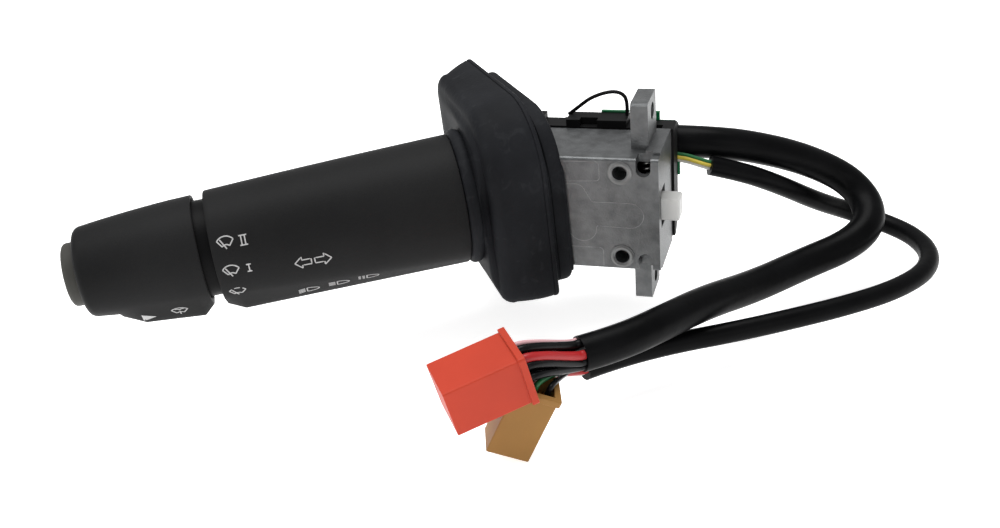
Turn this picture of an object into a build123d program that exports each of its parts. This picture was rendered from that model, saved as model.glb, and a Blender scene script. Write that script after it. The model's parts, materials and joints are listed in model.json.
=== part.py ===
"""Combination stalk switch for a truck steering column, in millimetres.

Frame: the origin lies midway between the two lug holes, on the lugs' right-hand
mounting face. +X runs along the column bracket to the right, away from the lever,
+Y points away from the driver and +Z is up. The lever leaves the housing to the
left, yawed towards the driver, and hangs a little below level in its detent.
"""
from build123d import *
from math import acos, atan2, cos, hypot, radians, sin
import os

# ---- clearances -----------------------------------------------------------
RUN_GAP = 0.05        # radial gap of a shaft that turns or slides in its bore
SOFT_GAP = 0.3        # gap between rubber and a piece of another body
FREE_GAP = 0.4        # gap between pieces that only pass each other
SEAT_GAP = 0.35       # gap round a disc pushed into a moulded hollow
SEAL_GAP = 0.1        # gap round a sleeve or a lead in its hole

# ---- die-cast housing -----------------------------------------------------
FACE_Y = -20.0        # front face of the box
BOX_DEPTH = 30.0      # front face to back rim
BOX_HALF_H = 23.2     # half the height of the box
BOX_RIGHT = 5.3       # right-hand end wall, outer face
FRONT_WALL = 3.2
SIDE_WALL = 3.4
END_WALL = 3.5
HOUSING_REACH = 17.0  # pivot to the cut left end, square to the boot
FRAME_T = 3.0         # boot frame's plate, between the cut end and the boot's front lip
BOOT_REACH = HOUSING_REACH + FRAME_T
CORNER_R = 1.2
LUG_SPACING = 70.0    # between the two mounting holes
LUG_HOLE_R = 3.3
LUG_THICK = 6.6
LUG_FRONT_Y = -10.0
LUG_BACK_Y = 7.8
LUG_END = 6.2         # hole centre to the lug's free end
NOTCH_W = 5.5         # U notches that show the centring springs
NOTCH_BACK_Y = -13.6
NOTCH_DEPTH = 7.0
NOTCH_X = -0.4
END_PAD = 1.0         # raised band round the right-hand end, from the lugs' face on
END_PAD_FRONT_Y = -15.0
END_PAD_BACK_Y = 9.0
TAPPED_SPACING = 35.0  # two tapped bosses on the front face
TAPPED_X = -9.4
TAPPED_R = 2.8
TAPPED_BOSS_R = 4.9
TAPPED_DEPTH = 10.0
TAPPED_LIP = 0.25
SCREW_R = 1.5         # cover screws
SCREW_HEAD_R = 2.7
SCREW_HEAD_H = 1.8
SCREW_INSET = 4.0     # screw axes, in from the box's top and bottom
SCREW_Z = BOX_HALF_H - SCREW_INSET
SCREW_XS = (-24.0, -6.0)
SCREW_BITE = 12.0
BOSS_R = 3.1

# ---- rear carrier, board and cover ---------------------------------------
CARRIER_LEFT = -49.0
CARRIER_RIGHT = 6.3
CARRIER_TOP = 23.7
CARRIER_RIB_TOP = 26.4   # raised stretch that the link wire stands on
CARRIER_RIBS = ((-49.0, -46.3), (-36.5, -12.4))
CARRIER_BOTTOM = -22.6
CARRIER_THICK = 9.0
CARRIER_CHAMFER = 6.0
BEARING_R = 5.2
RELIEF_RIGHT = -12.0  # shallow relief behind the yoke's sweep
RELIEF_TOP = 20.0
RELIEF_BOTTOM = -12.0
RELIEF_DEPTH = 0.8
BEARING_LIP = 0.8
BOARD_THICK = 1.6
BOARD_LEFT = -36.0
BOARD_TOP = 23.1
BOARD_BOTTOM = -15.0
BOARD_TAB_TOP = 27.0
BOARD_TABS = ((-24.0, -12.7), (-2.8, -0.6))
BOARD_RIGHT_TAB = 7.2
COVER_THICK = 4.4
COVER_LEFT = -40.0
COVER_RIGHT = 5.0
COVER_TOP = 22.2
COVER_BOTTOM = -18.5
CHAMBER_DEPTH = 15.0  # wiring chamber, from the back of the board
CHAMBER_LEFT = -26.0
CHAMBER_TOP = 18.9
CHAMBER_SLOPE = 6.0   # bevel along the chamber's upper back edge
CHAMBER_BOTTOM = -1.0

# ---- lever gimbal ---------------------------------------------------------
PIVOT = (-35.0, 2.0, 6.0)
LEVER_YAW = 29.0      # towards the driver
LEVER_DROOP = -2.3    # turn about Y that the neutral detent holds
YOKE_HALF_L = 6.5
YOKE_FRONT = -15.5    # cheeks, measured from the pivot along Y
YOKE_BACK = 6.5
YOKE_HALF_H = 9.0
YOKE_WALL = 3.0       # front cheek
YOKE_THIN = 1.9       # back cheek and the web beside the hub
YOKE_ROOF = 2.5
SWING_PIN_R = 2.5
SWING_PIN_FRONT_Y = -18.4
SWING_PIN_BACK_Y = 13.2
LEVER_PIN_R = 1.8
HUB_R = 4.3
HUB_TOP = 2.4
SECTOR_R = 18.0       # notched arm on the yoke
SECTOR_HALF_H = 6.5
SECTOR_FRONT_Y = -6.0
SECTOR_BACK_Y = 2.0
NOTCH_STEP = 10.0     # degrees between indicator detents
DETENT_NOSE_R = 1.0
LEAF_THICK = 0.5
NOSE_GAP = 0.2        # between a leaf's nose and the floor of its notch
LEAF_ABOVE = 12.0     # free end above the nose

# ---- cancelling finger ----------------------------------------------------
FINGER_PIVOT_X = -7.0
FINGER_Z = 0.8
FINGER_HALF_H = 4.3
FINGER_FRONT_Y = -15.0
FINGER_BACK_Y = -7.0
FINGER_TIP_X = 12.2
FINGER_HUB_R = 4.2
FINGER_PIN_R = 1.5
CENTRING_COIL_R = 1.75
CENTRING_WIRE_R = 0.35
CENTRING_X = -0.6
CENTRING_Y = -11.0

# ---- lever, measured along its axis from the pivot ------------------------
NECK_R = 4.2
NECK_END = 14.0
TUBE_R = 6.0
TUBE_BORE_START = 28.0
TUBE_BORE_R = 4.9
SHAFT_R = 4.1
SHAFT_BEARING = 38.0  # narrowed end of the tube's bore, which carries the shaft
SHAFT_TAIL = 6.0      # shaft beyond the bearing, for its clip
GRIP_START = 43.4
GRIP_END = 140.6
TUBE_END = GRIP_END - 22.6
SHAFT_SEAT = TUBE_END - SHAFT_BEARING
SHAFT_START = SHAFT_SEAT - SHAFT_TAIL
SHAFT_END = GRIP_END + 9.4
GRIP_R_START = 25.2
GRIP_R_END = 21.6
GRIP_WALL = 2.4
KEEL_DEPTH = 25.5     # axis to the flat under the grip
KEEL_HALF_W = 8.0
KEEL_RAMP = 6.6       # sloped end of the keel
CARRIER_RING_S = (GRIP_START + 16.6, GRIP_END - 36.6)
CARRIER_RING_L = 4.0
CONTACT_PLATE_L = 3.0
CONTACT_PLATE_R = 17.6
CONTACT_T = 0.4
TRACK_RS = (7.0, 10.0)
TRACK_HALF_W = 0.9
BRUSH_HALF_W = 0.7
POST_Y = 9.5          # posts that hold the wiper detent's leaf
POST_HALF_W = 0.9
POST_H = 1.4

# ---- wiper rotor, washer knob and horn button -----------------------------
DETENT_RING_R = 13.0
DETENT_RING_START = GRIP_END - 17.6
DETENT_RING_L = 4.0
DETENT_STEP = 40.0    # degrees between wiper positions
NECK_RING_R = 18.6
NECK_RING_START = GRIP_END - 7.3
NECK_RING_END = GRIP_END + 7.7
ROTOR_BOSS_R = 9.0
ROTOR_BOSS_END = GRIP_END + 32.0
KEY_R = 11.0
KEY_W = 3.0
KNOB_START = GRIP_END + 4.7
KNOB_LENGTH = 45.2
KNOB_END = KNOB_START + KNOB_LENGTH
KNOB_R_START = 21.0
KNOB_R_END = 17.0
KNOB_BULGE = 0.55     # how far its middle stands out past a straight taper
KNOB_WALL = 1.7
KNOB_EDGE_R = 3.2
KNOB_KEEL_DEPTH = 25.2
KNOB_KEEL_RISE = 2.2   # how much shallower it is where its ramp begins
KNOB_KEEL_FLAT = 26.2
KNOB_KEEL_END = 34.0
KNOB_KEEL_HALF_W = 7.5
KNOB_KEEL_CORNER = 5.8
BULKHEAD_S = KNOB_END - 12.0
BULKHEAD_L = 2.0
KNOB_END_WALL = 3.0
KNOB_CORE_START = NECK_RING_END + 6.5
WASHER_TRAVEL = 3.5
WASHER_COIL_R = 13.4
WASHER_WIRE_R = 0.6
WASHER_TURNS = 2
BUTTON_R = 12.2
BUTTON_PROUD = 5.3
BUTTON_TIP = KNOB_END + BUTTON_PROUD
BUTTON_FLANGE_R = 13.4
BUTTON_FLANGE_L = 1.6
BUTTON_WALL = 1.8
HORN_TRAVEL = 2.0
KNOB_SCREW_R = 2.0
KNOB_SCREW_HEAD_R = 4.0

# ---- rubber boot, in its own frame 20 mm out from the pivot ----------------
BOOT_YAW = 36.0
RIM = (-52.0, 34.0, -38.0, 38.0)      # front lip: y low, y high, z low, z high
RIM_CORNERS = (4.0, 18.0, 5.0, 5.0)    # back top, front top, front bottom, back bottom
RIM_T = 2.6
THROAT = (-42.0, 26.5, -34.0, 26.8)   # wall of the groove
THROAT_WALL = 2.4
THROAT_CORNERS = (5.0, 15.0, 5.0, 5.0)
REAR_LIP = 3.4        # how far the rear lip stands out of the groove
REAR_LIP_T = 2.6
GROOVE_W = 5.4
CREASE = (-43.0, 25.0, -34.5, 32.5)   # shoulder of the skirt
CREASE_CORNERS = (12.0, 14.0, 7.0, 7.0)
SKIRT_L = 18.0
SKIRT_WALL = 2.4
COLLAR_R = 28.0
COLLAR_L = 6.6
COLLAR_TUBE_R = 3.2
COLLAR_GAP = 0.2      # collar to the grip's end
BELLOWS_START = 31.0
BELLOWS_END = 40.4
BELLOWS_R = (24.2, 23.6, 20.8, 18.2, 20.8, 18.2, 20.8)
BELLOWS_WALL = 1.1
FRAME_FLANGE = 2.0
FRAME_FLANGE_OUT = 3.0
FRAME_SCREW_TOP = BOX_HALF_H - SCREW_INSET - PIVOT[2]
FRAME_SCREW_LOW = SCREW_INSET - BOX_HALF_H - PIVOT[2]
FRAME_SCREW_FRONT = 9.0
FRAME_SCREW_BACK = -17.0
FRAME_SCREWS = (
    (FRAME_SCREW_FRONT, FRAME_SCREW_TOP), (FRAME_SCREW_BACK, FRAME_SCREW_TOP),
    (FRAME_SCREW_FRONT, FRAME_SCREW_LOW), (FRAME_SCREW_BACK, FRAME_SCREW_LOW),
)
FRAME_SCREW_R = 1.25
FRAME_PAD_R = 3.0
FRAME_HEAD_R = 2.3
FRAME_HEAD_H = 1.6
FRAME_WINDOW = (-20.5, 12.5, -20.4, 10.3)
FRAME_SCREW_BITE = 5.0

# ---- harness --------------------------------------------------------------
FLOOR_Z = -42.0       # the surface that the harness lies on
BIG_SLEEVE_R = 6.5
SMALL_SLEEVE_R = 4.0
WIRE_LEAD = 6.0       # straight run of a wire at each end
JUMPER_R = 0.75       # link wire on the carrier's raised stretch
JUMPER_ROUTE = (
    (-35.0, 16.5, CARRIER_RIB_TOP), (-35.0, 16.5, 28.6), (-30.6, 16.5, 31.7), (-24.0, 16.5, 34.2),
    (-17.6, 16.5, 35.4), (-13.5, 16.5, 32.6), (-13.5, 16.5, CARRIER_RIB_TOP),
)
BARREL_R = 1.25
BARREL_L = 4.0        # terminal barrels in a connector's open end
BIG_ROUTE = (
    (0.0, 27.4, 11.6), (9.0, 27.4, 11.6), (19.0, 29.3, 10.6), (31.0, 34.7, 7.6), (48.0, 44.5, 0.2),
    (62.5, 52.5, -8.5), (72.8, 54.7, -15.5), (80.4, 48.8, -22.0), (81.8, 37.5, -27.0),
    (73.7, 27.0, -31.5), (57.5, 14.0, -34.0), (39.9, -8.5, -33.4), (23.7, -34.0, -27.6),
    (10.0, -57.5, -25.0), (-1.5, -72.5, -24.2), (-12.5, -81.5, -24.0),
)
SMALL_ROUTE = (
    (19.0, 20.4, 4.4), (31.0, 24.6, 0.4), (45.0, 36.5, -10.0), (60.0, 52.0, -24.0),
    (73.0, 66.0, -34.5), (87.0, 63.5, -37.8), (99.6, 52.4, -38.0), (106.3, 36.6, -38.0),
    (104.0, 20.0, -38.0), (92.0, 3.6, -38.0), (75.0, -10.4, -38.0), (55.4, -23.6, -38.0),
    (34.6, -36.4, -38.0), (14.2, -47.4, -38.0), (-4.6, -61.4, -37.5), (-14.0, -71.5, -37.0),
)
LEAD_ROUTE = ((2.0, 23.4, 2.6), (8.0, 23.4, 2.6), (13.0, 21.6, 4.0), (19.0, 20.4, 4.4))
LEAD_R = 2.4
ORANGE_AT = (-38.3, -112.4, -18.0)
ORANGE_AXIS = (0.807, 0.552, 0.210)
ORANGE_UP = (-0.174, -0.119, 0.978)
ORANGE_SIZE = (28.8, 20.4, 17.4)
TAN_AT = (-26.4, -105.0, -34.9)
TAN_AXIS = (0.14, 0.99, 0.0)
TAN_SIZE = (28.0, 15.6, 12.4)
# each wire: place in the sleeve's end, place in the connector's end, radius
ORANGE_WIRES = (
    ((0.2, 0.4), (0.6, 4.6), 1.6), ((-3.6, 1.6), (-5.8, 4.6), 1.3), ((3.4, 2.6), (6.4, 4.6), 1.3),
    ((-3.2, -2.6), (-6.4, -4.6), 1.3), ((0.4, -3.8), (-2.1, -4.6), 1.3),
    ((3.8, -1.6), (2.1, -4.6), 1.3),
)
TAN_WIRES = (
    ((-1.9, 0.6), (-4.2, 2.0), 0.9), ((0.3, -1.2), (0.0, -2.0), 0.9), ((2.0, 0.8), (4.2, 2.0), 0.9),
)
SHELL_WALL = 1.5
CAVITY_DEPTH = 9.0
CONNECTOR_LIP = 0.9
CONNECTOR_LIP_L = 2.4

os.makedirs("parts", exist_ok=True)


def save(node, shape):
    """Write one sub-part, labelled with its own name."""
    shape.label = node
    export_step(shape, f"parts/{node}.step")


def block(x0, x1, y0, y1, z0, z1):
    """A box between two corners."""
    middle = ((x0 + x1) / 2, (y0 + y1) / 2, (z0 + z1) / 2)
    return Pos(*middle) * Box(abs(x1 - x0), abs(y1 - y0), abs(z1 - z0))


def rod_x(radius, start, end, y=0.0, z=0.0):
    """A round bar along X."""
    return Pos((start + end) / 2, y, z) * Rot(0, 90, 0) * Cylinder(radius, abs(end - start))


def rod_y(radius, start, end, x=0.0, z=0.0):
    """A round bar along Y."""
    return Pos(x, (start + end) / 2, z) * Rot(90, 0, 0) * Cylinder(radius, abs(end - start))


def rod_z(radius, start, end, x=0.0, y=0.0):
    """A round bar along Z."""
    return Pos(x, y, (start + end) / 2) * Cylinder(radius, abs(end - start))


def turned(points):
    """A closed outline of (along X, radius) points, turned about the X axis."""
    outline = make_face(Polyline(*[(s, r, 0) for s, r in points], close=True))
    return revolve(outline, Axis.X)


def ring(outer, inner, start, end):
    """A washer about the X axis."""
    return turned([(start, inner), (end, inner), (end, outer), (start, outer)])


def coil(radius, wire, length, turns):
    """A round wire wound about Z from z = 0, within its stated length."""
    rise = length - 2 * wire
    path = Pos(0, 0, wire) * Helix(pitch=rise / turns, height=rise, radius=radius)
    start = Plane(origin=path @ 0, z_dir=path % 0)
    return sweep(start * Circle(wire), path=path, is_frenet=True)


def droop(shape):
    """Turn a level piece of the gimbal to where the neutral detent holds it."""
    return shape.rotate(Axis(PIVOT, (0, 1, 0)), LEVER_DROOP)


def drooped(vector):
    return Vector(*vector).rotate(Axis.Y, LEVER_DROOP)


def headed(yaw):
    """The direction that leaves the pivot to the left, yawed towards the driver."""
    return drooped((-cos(radians(yaw)), -sin(radians(yaw)), 0))


LEVER = Plane(origin=PIVOT, x_dir=headed(LEVER_YAW), z_dir=drooped((0, 0, 1)))
BOOT = Plane(
    origin=Vector(*PIVOT) + headed(LEVER_YAW) * (BOOT_REACH / cos(radians(BOOT_YAW - LEVER_YAW))),
    x_dir=headed(BOOT_YAW),
    z_dir=drooped((0, 0, 1)),
)


def on_lever(shape):
    return LEVER.location * shape


def on_boot(shape):
    return BOOT.location * shape


def square_to_boot(shape):
    """Place a shape whose x counts from the pivot, square to the boot."""
    return BOOT.location * Pos(-BOOT_REACH, 0, 0) * shape


BOX_BACK = FACE_Y + BOX_DEPTH
BOX_LEFT = PIVOT[0] - HOUSING_REACH - BOX_DEPTH    # beyond the slanted cut
CARRIER_BACK = BOX_BACK + CARRIER_THICK
BOARD_BACK = CARRIER_BACK + BOARD_THICK
COVER_BACK = BOARD_BACK + COVER_THICK
CHAMBER_BACK = BOARD_BACK + CHAMBER_DEPTH
CAVITY_HALF_H = BOX_HALF_H - SIDE_WALL
CAVITY_FRONT = FACE_Y + FRONT_WALL
FINGER_ROOM = 3.4     # swing of the finger at the end wall, each way


# ---- housing --------------------------------------------------------------
def lug(side):
    """One mounting ear, above or below the box, with its hole along X."""
    tip = side * (LUG_SPACING / 2 + LUG_END)
    root = side * (BOX_HALF_H - SIDE_WALL)
    ear = block(-LUG_THICK, 0, LUG_FRONT_Y, LUG_BACK_Y, min(root, tip), max(root, tip))
    free_end = ear.faces().sort_by(Axis.Z)[-1 if side > 0 else 0]
    ear = chamfer(free_end.edges().filter_by(Axis.X), 1.0)
    return ear - rod_x(LUG_HOLE_R, -LUG_THICK - 1, 1, 0, side * LUG_SPACING / 2)


def notch(side):
    """U notch in the front edge of the box, rounded at its inner end."""
    edge = side * (BOX_HALF_H + 1)
    seat = side * (BOX_HALF_H - NOTCH_DEPTH + NOTCH_W / 2)
    half = NOTCH_W / 2
    slot = block(NOTCH_X - half, NOTCH_X + half, FACE_Y - 1, NOTCH_BACK_Y,
                 min(edge, seat), max(edge, seat))
    return slot + rod_y(half, FACE_Y - 1, NOTCH_BACK_Y, NOTCH_X, seat)


def make_housing():
    box = block(BOX_LEFT, BOX_RIGHT, FACE_Y, BOX_BACK, -BOX_HALF_H, BOX_HALF_H)
    box = fillet(box.edges().filter_by(Axis.X), CORNER_R)
    box += block(-END_PAD / 2, BOX_RIGHT, END_PAD_FRONT_Y, END_PAD_BACK_Y,
                 -BOX_HALF_H - END_PAD, BOX_HALF_H + END_PAD)
    cavity = block(BOX_LEFT - 1, BOX_RIGHT - END_WALL, CAVITY_FRONT, BOX_BACK + 1,
                   -CAVITY_HALF_H, CAVITY_HALF_H)
    box -= cavity
    for side in (1, -1):
        box += lug(side)
        tapped_z = side * TAPPED_SPACING / 2
        box += rod_y(TAPPED_BOSS_R, FACE_Y - TAPPED_LIP, FACE_Y + TAPPED_DEPTH,
                     TAPPED_X, tapped_z)
        for x in SCREW_XS:
            box += rod_y(BOSS_R, BOX_BACK - SCREW_BITE - 2, BOX_BACK, x, side * SCREW_Z)
    box += rod_y(BEARING_R + 0.8, CAVITY_FRONT - 1, CAVITY_FRONT + 2.4, PIVOT[0], PIVOT[2])
    inside_box = block(BOX_LEFT, BOX_RIGHT, FACE_Y, BOX_BACK, -BOX_HALF_H, BOX_HALF_H)
    for y, z in FRAME_SCREWS:
        pad = square_to_boot(rod_x(FRAME_PAD_R, HOUSING_REACH - FRAME_SCREW_BITE, 2 * HOUSING_REACH,
                                   y, z))
        box += pad & inside_box
    box -= square_to_boot(block(HOUSING_REACH, 90, -90, 90, -90, 90))
    for side in (1, -1):
        box -= notch(side)
        box -= rod_y(TAPPED_R, FACE_Y - 1, FACE_Y + TAPPED_DEPTH - 1.5, TAPPED_X,
                     side * TAPPED_SPACING / 2)
        for x in SCREW_XS:
            box -= rod_y(SCREW_R, BOX_BACK - SCREW_BITE, BOX_BACK + 1, x, side * SCREW_Z)
    for y, z in FRAME_SCREWS:
        box -= square_to_boot(rod_x(FRAME_SCREW_R, HOUSING_REACH - FRAME_SCREW_BITE,
                                    HOUSING_REACH + 1, y, z))
    box -= rod_y(SWING_PIN_R + RUN_GAP, SWING_PIN_FRONT_Y - FREE_GAP, CAVITY_FRONT + 3,
                 PIVOT[0], PIVOT[2])
    box -= rod_y(FINGER_PIN_R, CAVITY_FRONT - 1.5, CAVITY_FRONT + 1, FINGER_PIVOT_X, FINGER_Z)
    box -= block(BOX_RIGHT - END_WALL - 1, BOX_RIGHT + 1,
                 FINGER_FRONT_Y - FREE_GAP, FINGER_BACK_Y + FREE_GAP,
                 FINGER_Z - FINGER_HALF_H - FINGER_ROOM, FINGER_Z + FINGER_HALF_H + FINGER_ROOM)
    return box


def make_rear_carrier():
    """Black moulding that closes the back of the box and carries the rear bearing."""
    body = block(CARRIER_LEFT, CARRIER_RIGHT, BOX_BACK, CARRIER_BACK, CARRIER_BOTTOM, CARRIER_TOP)
    low_left = body.faces().sort_by(Axis.X)[0].edges().filter_by(Axis.Y).sort_by(Axis.Z)[0]
    body = chamfer(low_left, 2.0)
    low_back = body.faces().sort_by(Axis.Y)[-1].edges().sort_by(Axis.Z)[0]
    body = chamfer(low_back, CARRIER_CHAMFER)
    for x0, x1 in CARRIER_RIBS:
        body += block(x0, x1, BOX_BACK, CARRIER_BACK, CARRIER_TOP - 1, CARRIER_RIB_TOP)
    body -= block(-31.0, -24.0, BOX_BACK - 1, BOX_BACK + 3, CARRIER_TOP - 0.2, CARRIER_RIB_TOP + 1)
    body -= block(-2.0, 1.6, BOX_BACK - 1, BOX_BACK + 4, CARRIER_TOP - 2.2, CARRIER_TOP + 1)
    # relief behind the yoke's sweep, and the bearing lip that stands in it
    body -= block(CARRIER_LEFT - 1, RELIEF_RIGHT, BOX_BACK - 1, BOX_BACK + RELIEF_DEPTH,
                  RELIEF_BOTTOM, RELIEF_TOP)
    body += rod_y(BEARING_R, BOX_BACK - BEARING_LIP, BOX_BACK + 4, PIVOT[0], PIVOT[2])
    body -= rod_y(SWING_PIN_R + RUN_GAP, BOX_BACK - 3, SWING_PIN_BACK_Y + FREE_GAP,
                  PIVOT[0], PIVOT[2])
    body -= rod_y(FINGER_PIN_R, BOX_BACK - 1, BOX_BACK + 2, FINGER_PIVOT_X, FINGER_Z)
    for x in SCREW_XS:
        for side in (1, -1):
            body -= rod_y(SCREW_R + 0.1, BOX_BACK - 1, CARRIER_BACK + 1, x, side * SCREW_Z)
    return body


def make_board():
    """Circuit board with the tabs that stand out of the mouldings."""
    board = block(BOARD_LEFT, COVER_RIGHT, CARRIER_BACK, BOARD_BACK, BOARD_BOTTOM, BOARD_TOP)
    for x0, x1 in BOARD_TABS:
        board += block(x0, x1, CARRIER_BACK, BOARD_BACK, BOARD_TOP - 1, BOARD_TAB_TOP)
    board += block(COVER_RIGHT - 1, BOARD_RIGHT_TAB, CARRIER_BACK, BOARD_BACK, 0.5, 6.0)
    for x in SCREW_XS:
        board -= rod_y(SCREW_R + 0.2, CARRIER_BACK - 1, BOARD_BACK + 1, x, SCREW_Z)
    return board


def make_rear_cover():
    """Back cover with the chamber that the two harness legs leave from."""
    cover = block(COVER_LEFT, COVER_RIGHT, BOARD_BACK, COVER_BACK, COVER_BOTTOM - 3, COVER_TOP)
    cover = chamfer(cover.faces().sort_by(Axis.Y)[-1].edges(), 1.5)
    chamber = block(CHAMBER_LEFT, COVER_RIGHT, BOARD_BACK, CHAMBER_BACK,
                    CHAMBER_BOTTOM, CHAMBER_TOP)
    upper_back = chamber.faces().sort_by(Axis.Y)[-1].edges().sort_by(Axis.Z)[-1]
    chamber = chamfer(upper_back, CHAMBER_SLOPE)
    cover += chamber
    start = BIG_ROUTE[0]
    cover -= rod_x(BIG_SLEEVE_R + SEAL_GAP, start[0], COVER_RIGHT + 1, start[1], start[2])
    lead = LEAD_ROUTE[0]
    cover -= rod_x(LEAD_R + SEAL_GAP, lead[0], COVER_RIGHT + 1, lead[1], lead[2])
    for x in SCREW_XS:
        for side in (1, -1):
            cover -= rod_y(SCREW_R + 0.1, BOARD_BACK - 1, CHAMBER_BACK + 1, x, side * SCREW_Z)
            cover -= rod_y(SCREW_HEAD_R + 0.3, COVER_BACK - 1.0, CHAMBER_BACK + 1,
                           x, side * SCREW_Z)
    return cover


def make_cover_screws():
    screws = []
    for x in SCREW_XS:
        for side in (1, -1):
            seat = COVER_BACK - 1.0
            shank = rod_y(SCREW_R, BOX_BACK - SCREW_BITE + 0.5, seat, x, side * SCREW_Z)
            head = rod_y(SCREW_HEAD_R, seat, seat + SCREW_HEAD_H, x, side * SCREW_Z)
            screws.append(shank + head)
    return Compound(children=screws)


# ---- gimbal ---------------------------------------------------------------
def make_yoke():
    """Frame that swings about Y, with cheeks, roof, floor and the notched arm."""
    px, py, pz = PIVOT
    yoke = block(px - YOKE_HALF_L, px + YOKE_HALF_L, py + YOKE_FRONT, py + YOKE_BACK,
                 pz - YOKE_HALF_H, pz + YOKE_HALF_H)
    yoke -= block(px - 20, px + YOKE_HALF_L - YOKE_THIN, py + YOKE_FRONT + YOKE_WALL,
                  py + YOKE_BACK - YOKE_THIN,
                  pz - YOKE_HALF_H + YOKE_ROOF, pz + YOKE_HALF_H - YOKE_ROOF)
    arm = block(px + YOKE_HALF_L - 1, px + SECTOR_R + 3, SECTOR_FRONT_Y, SECTOR_BACK_Y,
                pz - SECTOR_HALF_H, pz + SECTOR_HALF_H)
    arm &= rod_y(SECTOR_R, SECTOR_FRONT_Y, SECTOR_BACK_Y, px, pz)
    for step in (-1, 0, 1):
        angle = radians(step * NOTCH_STEP)
        arm -= rod_y(DETENT_NOSE_R + 0.1, SECTOR_FRONT_Y - 1, SECTOR_BACK_Y + 1,
                     px + (SECTOR_R + 0.2) * cos(angle), pz + (SECTOR_R + 0.2) * sin(angle))
    yoke += arm
    yoke -= rod_z(LEVER_PIN_R, pz - 20, pz + 20, px, py)
    yoke -= rod_y(SWING_PIN_R, py + YOKE_FRONT - 1, py + YOKE_FRONT + YOKE_WALL, px, pz)
    yoke -= rod_y(SWING_PIN_R, py + YOKE_BACK - YOKE_THIN, py + YOKE_BACK + 1, px, pz)
    return droop(yoke)


def make_swing_pins():
    px, py, pz = PIVOT
    front = rod_y(SWING_PIN_R, SWING_PIN_FRONT_Y, py + YOKE_FRONT + YOKE_WALL, px, pz)
    back = rod_y(SWING_PIN_R, py + YOKE_BACK - YOKE_THIN, SWING_PIN_BACK_Y, px, pz)
    return Compound(children=[front, back])


def make_lever_pin():
    px, py, pz = PIVOT
    return droop(rod_z(LEVER_PIN_R, pz - YOKE_HALF_H, pz + YOKE_HALF_H, px, py))


def make_flash_spring():
    """Torsion spring round the lever pin, above the lever's hub."""
    px, py, pz = PIVOT
    room = YOKE_HALF_H - YOKE_ROOF - HUB_TOP - 0.6
    spring = coil(3.1, 0.4, room, 3)
    return droop(Pos(px, py, pz + HUB_TOP + 0.3) * spring)


def make_indicator_leaf():
    """Upright leaf spring whose nose rests in the yoke's middle notch."""
    px, py, pz = PIVOT
    tilt = radians(-LEVER_DROOP)
    nose_x = px + (SECTOR_R + 0.2) * cos(tilt)
    nose_z = pz + (SECTOR_R + 0.2) * sin(tilt)
    face = nose_x + DETENT_NOSE_R - LEAF_THICK
    leaf = block(face, face + LEAF_THICK, SECTOR_FRONT_Y + 0.5, SECTOR_BACK_Y - 0.5,
                 -CAVITY_HALF_H + FREE_GAP, nose_z + LEAF_ABOVE)
    return leaf + rod_y(DETENT_NOSE_R - 0.1, SECTOR_FRONT_Y + 0.5, SECTOR_BACK_Y - 0.5,
                        nose_x, nose_z)


def make_contact_bridge():
    """Brass slider on the back of the yoke's arm, with three prongs."""
    px, py, pz = PIVOT
    bridge = block(px + 8, px + 16, SECTOR_BACK_Y, SECTOR_BACK_Y + 0.6, pz - 5.5, pz + 5.5)
    for z in (-4.5, 0.0, 4.5):
        bridge += block(px + 11, px + 13, SECTOR_BACK_Y, BOX_BACK + 0.1, pz + z - 0.6, pz + z + 0.6)
    return droop(bridge)


def make_contact_strips():
    """Brass tracks on the front of the carrier that the slider sweeps."""
    px, py, pz = PIVOT
    front = BOX_BACK + RELIEF_DEPTH - CONTACT_T
    strips = []
    for z0, z1 in ((-11.0, -7.4), (-1.4, 1.4), (7.4, 11.0)):
        strips.append(block(px + 6.5, px + 17.5, front, front + CONTACT_T, pz + z0, pz + z1))
    return Compound(children=strips)


# ---- cancelling finger ----------------------------------------------------
def make_finger():
    body = block(FINGER_PIVOT_X, FINGER_TIP_X, FINGER_FRONT_Y, FINGER_BACK_Y,
                 FINGER_Z - FINGER_HALF_H, FINGER_Z + FINGER_HALF_H)
    body = fillet(body.faces().sort_by(Axis.X)[-1].edges(), 0.8)
    body += rod_y(FINGER_HUB_R, FINGER_FRONT_Y, FINGER_BACK_Y + 4, FINGER_PIVOT_X, FINGER_Z)
    return body - rod_y(FINGER_PIN_R + RUN_GAP, FINGER_FRONT_Y - 1, FINGER_BACK_Y + 5,
                        FINGER_PIVOT_X, FINGER_Z)


def make_finger_pin():
    return rod_y(FINGER_PIN_R, CAVITY_FRONT - 1.3, BOX_BACK + 1.8, FINGER_PIVOT_X, FINGER_Z)


def make_centring_springs():
    """A coil above and one below the finger, each against the box."""
    springs = []
    for side in (1, -1):
        length = CAVITY_HALF_H - side * FINGER_Z - FINGER_HALF_H - 0.2
        spring = coil(CENTRING_COIL_R, CENTRING_WIRE_R, length, 6)
        if side < 0:
            spring = Rot(180, 0, 0) * spring
        z = FINGER_Z + side * (FINGER_HALF_H + 0.1)
        springs.append(Pos(CENTRING_X, CENTRING_Y, z) * spring)
    return Compound(children=springs)


# ---- lever ----------------------------------------------------------------
def grip_radius(s):
    share = (s - GRIP_START) / (GRIP_END - GRIP_START)
    return GRIP_R_START + (GRIP_R_END - GRIP_R_START) * share


def keeled_section(s, radius, depth, half_width):
    """Round section with a flat-bottomed keel, whose flanks leave the round tangent to it."""
    a = atan2(depth, half_width) - acos(radius / hypot(depth, half_width))
    here = Plane(origin=(s, 0, 0), x_dir=(0, 1, 0), z_dir=(1, 0, 0))
    keel = Polygon(
        (radius * cos(a), -radius * sin(a)), (-radius * cos(a), -radius * sin(a)),
        (-half_width, -depth), (half_width, -depth), align=None,
    )
    return here * (Circle(radius) + keel)


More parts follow.
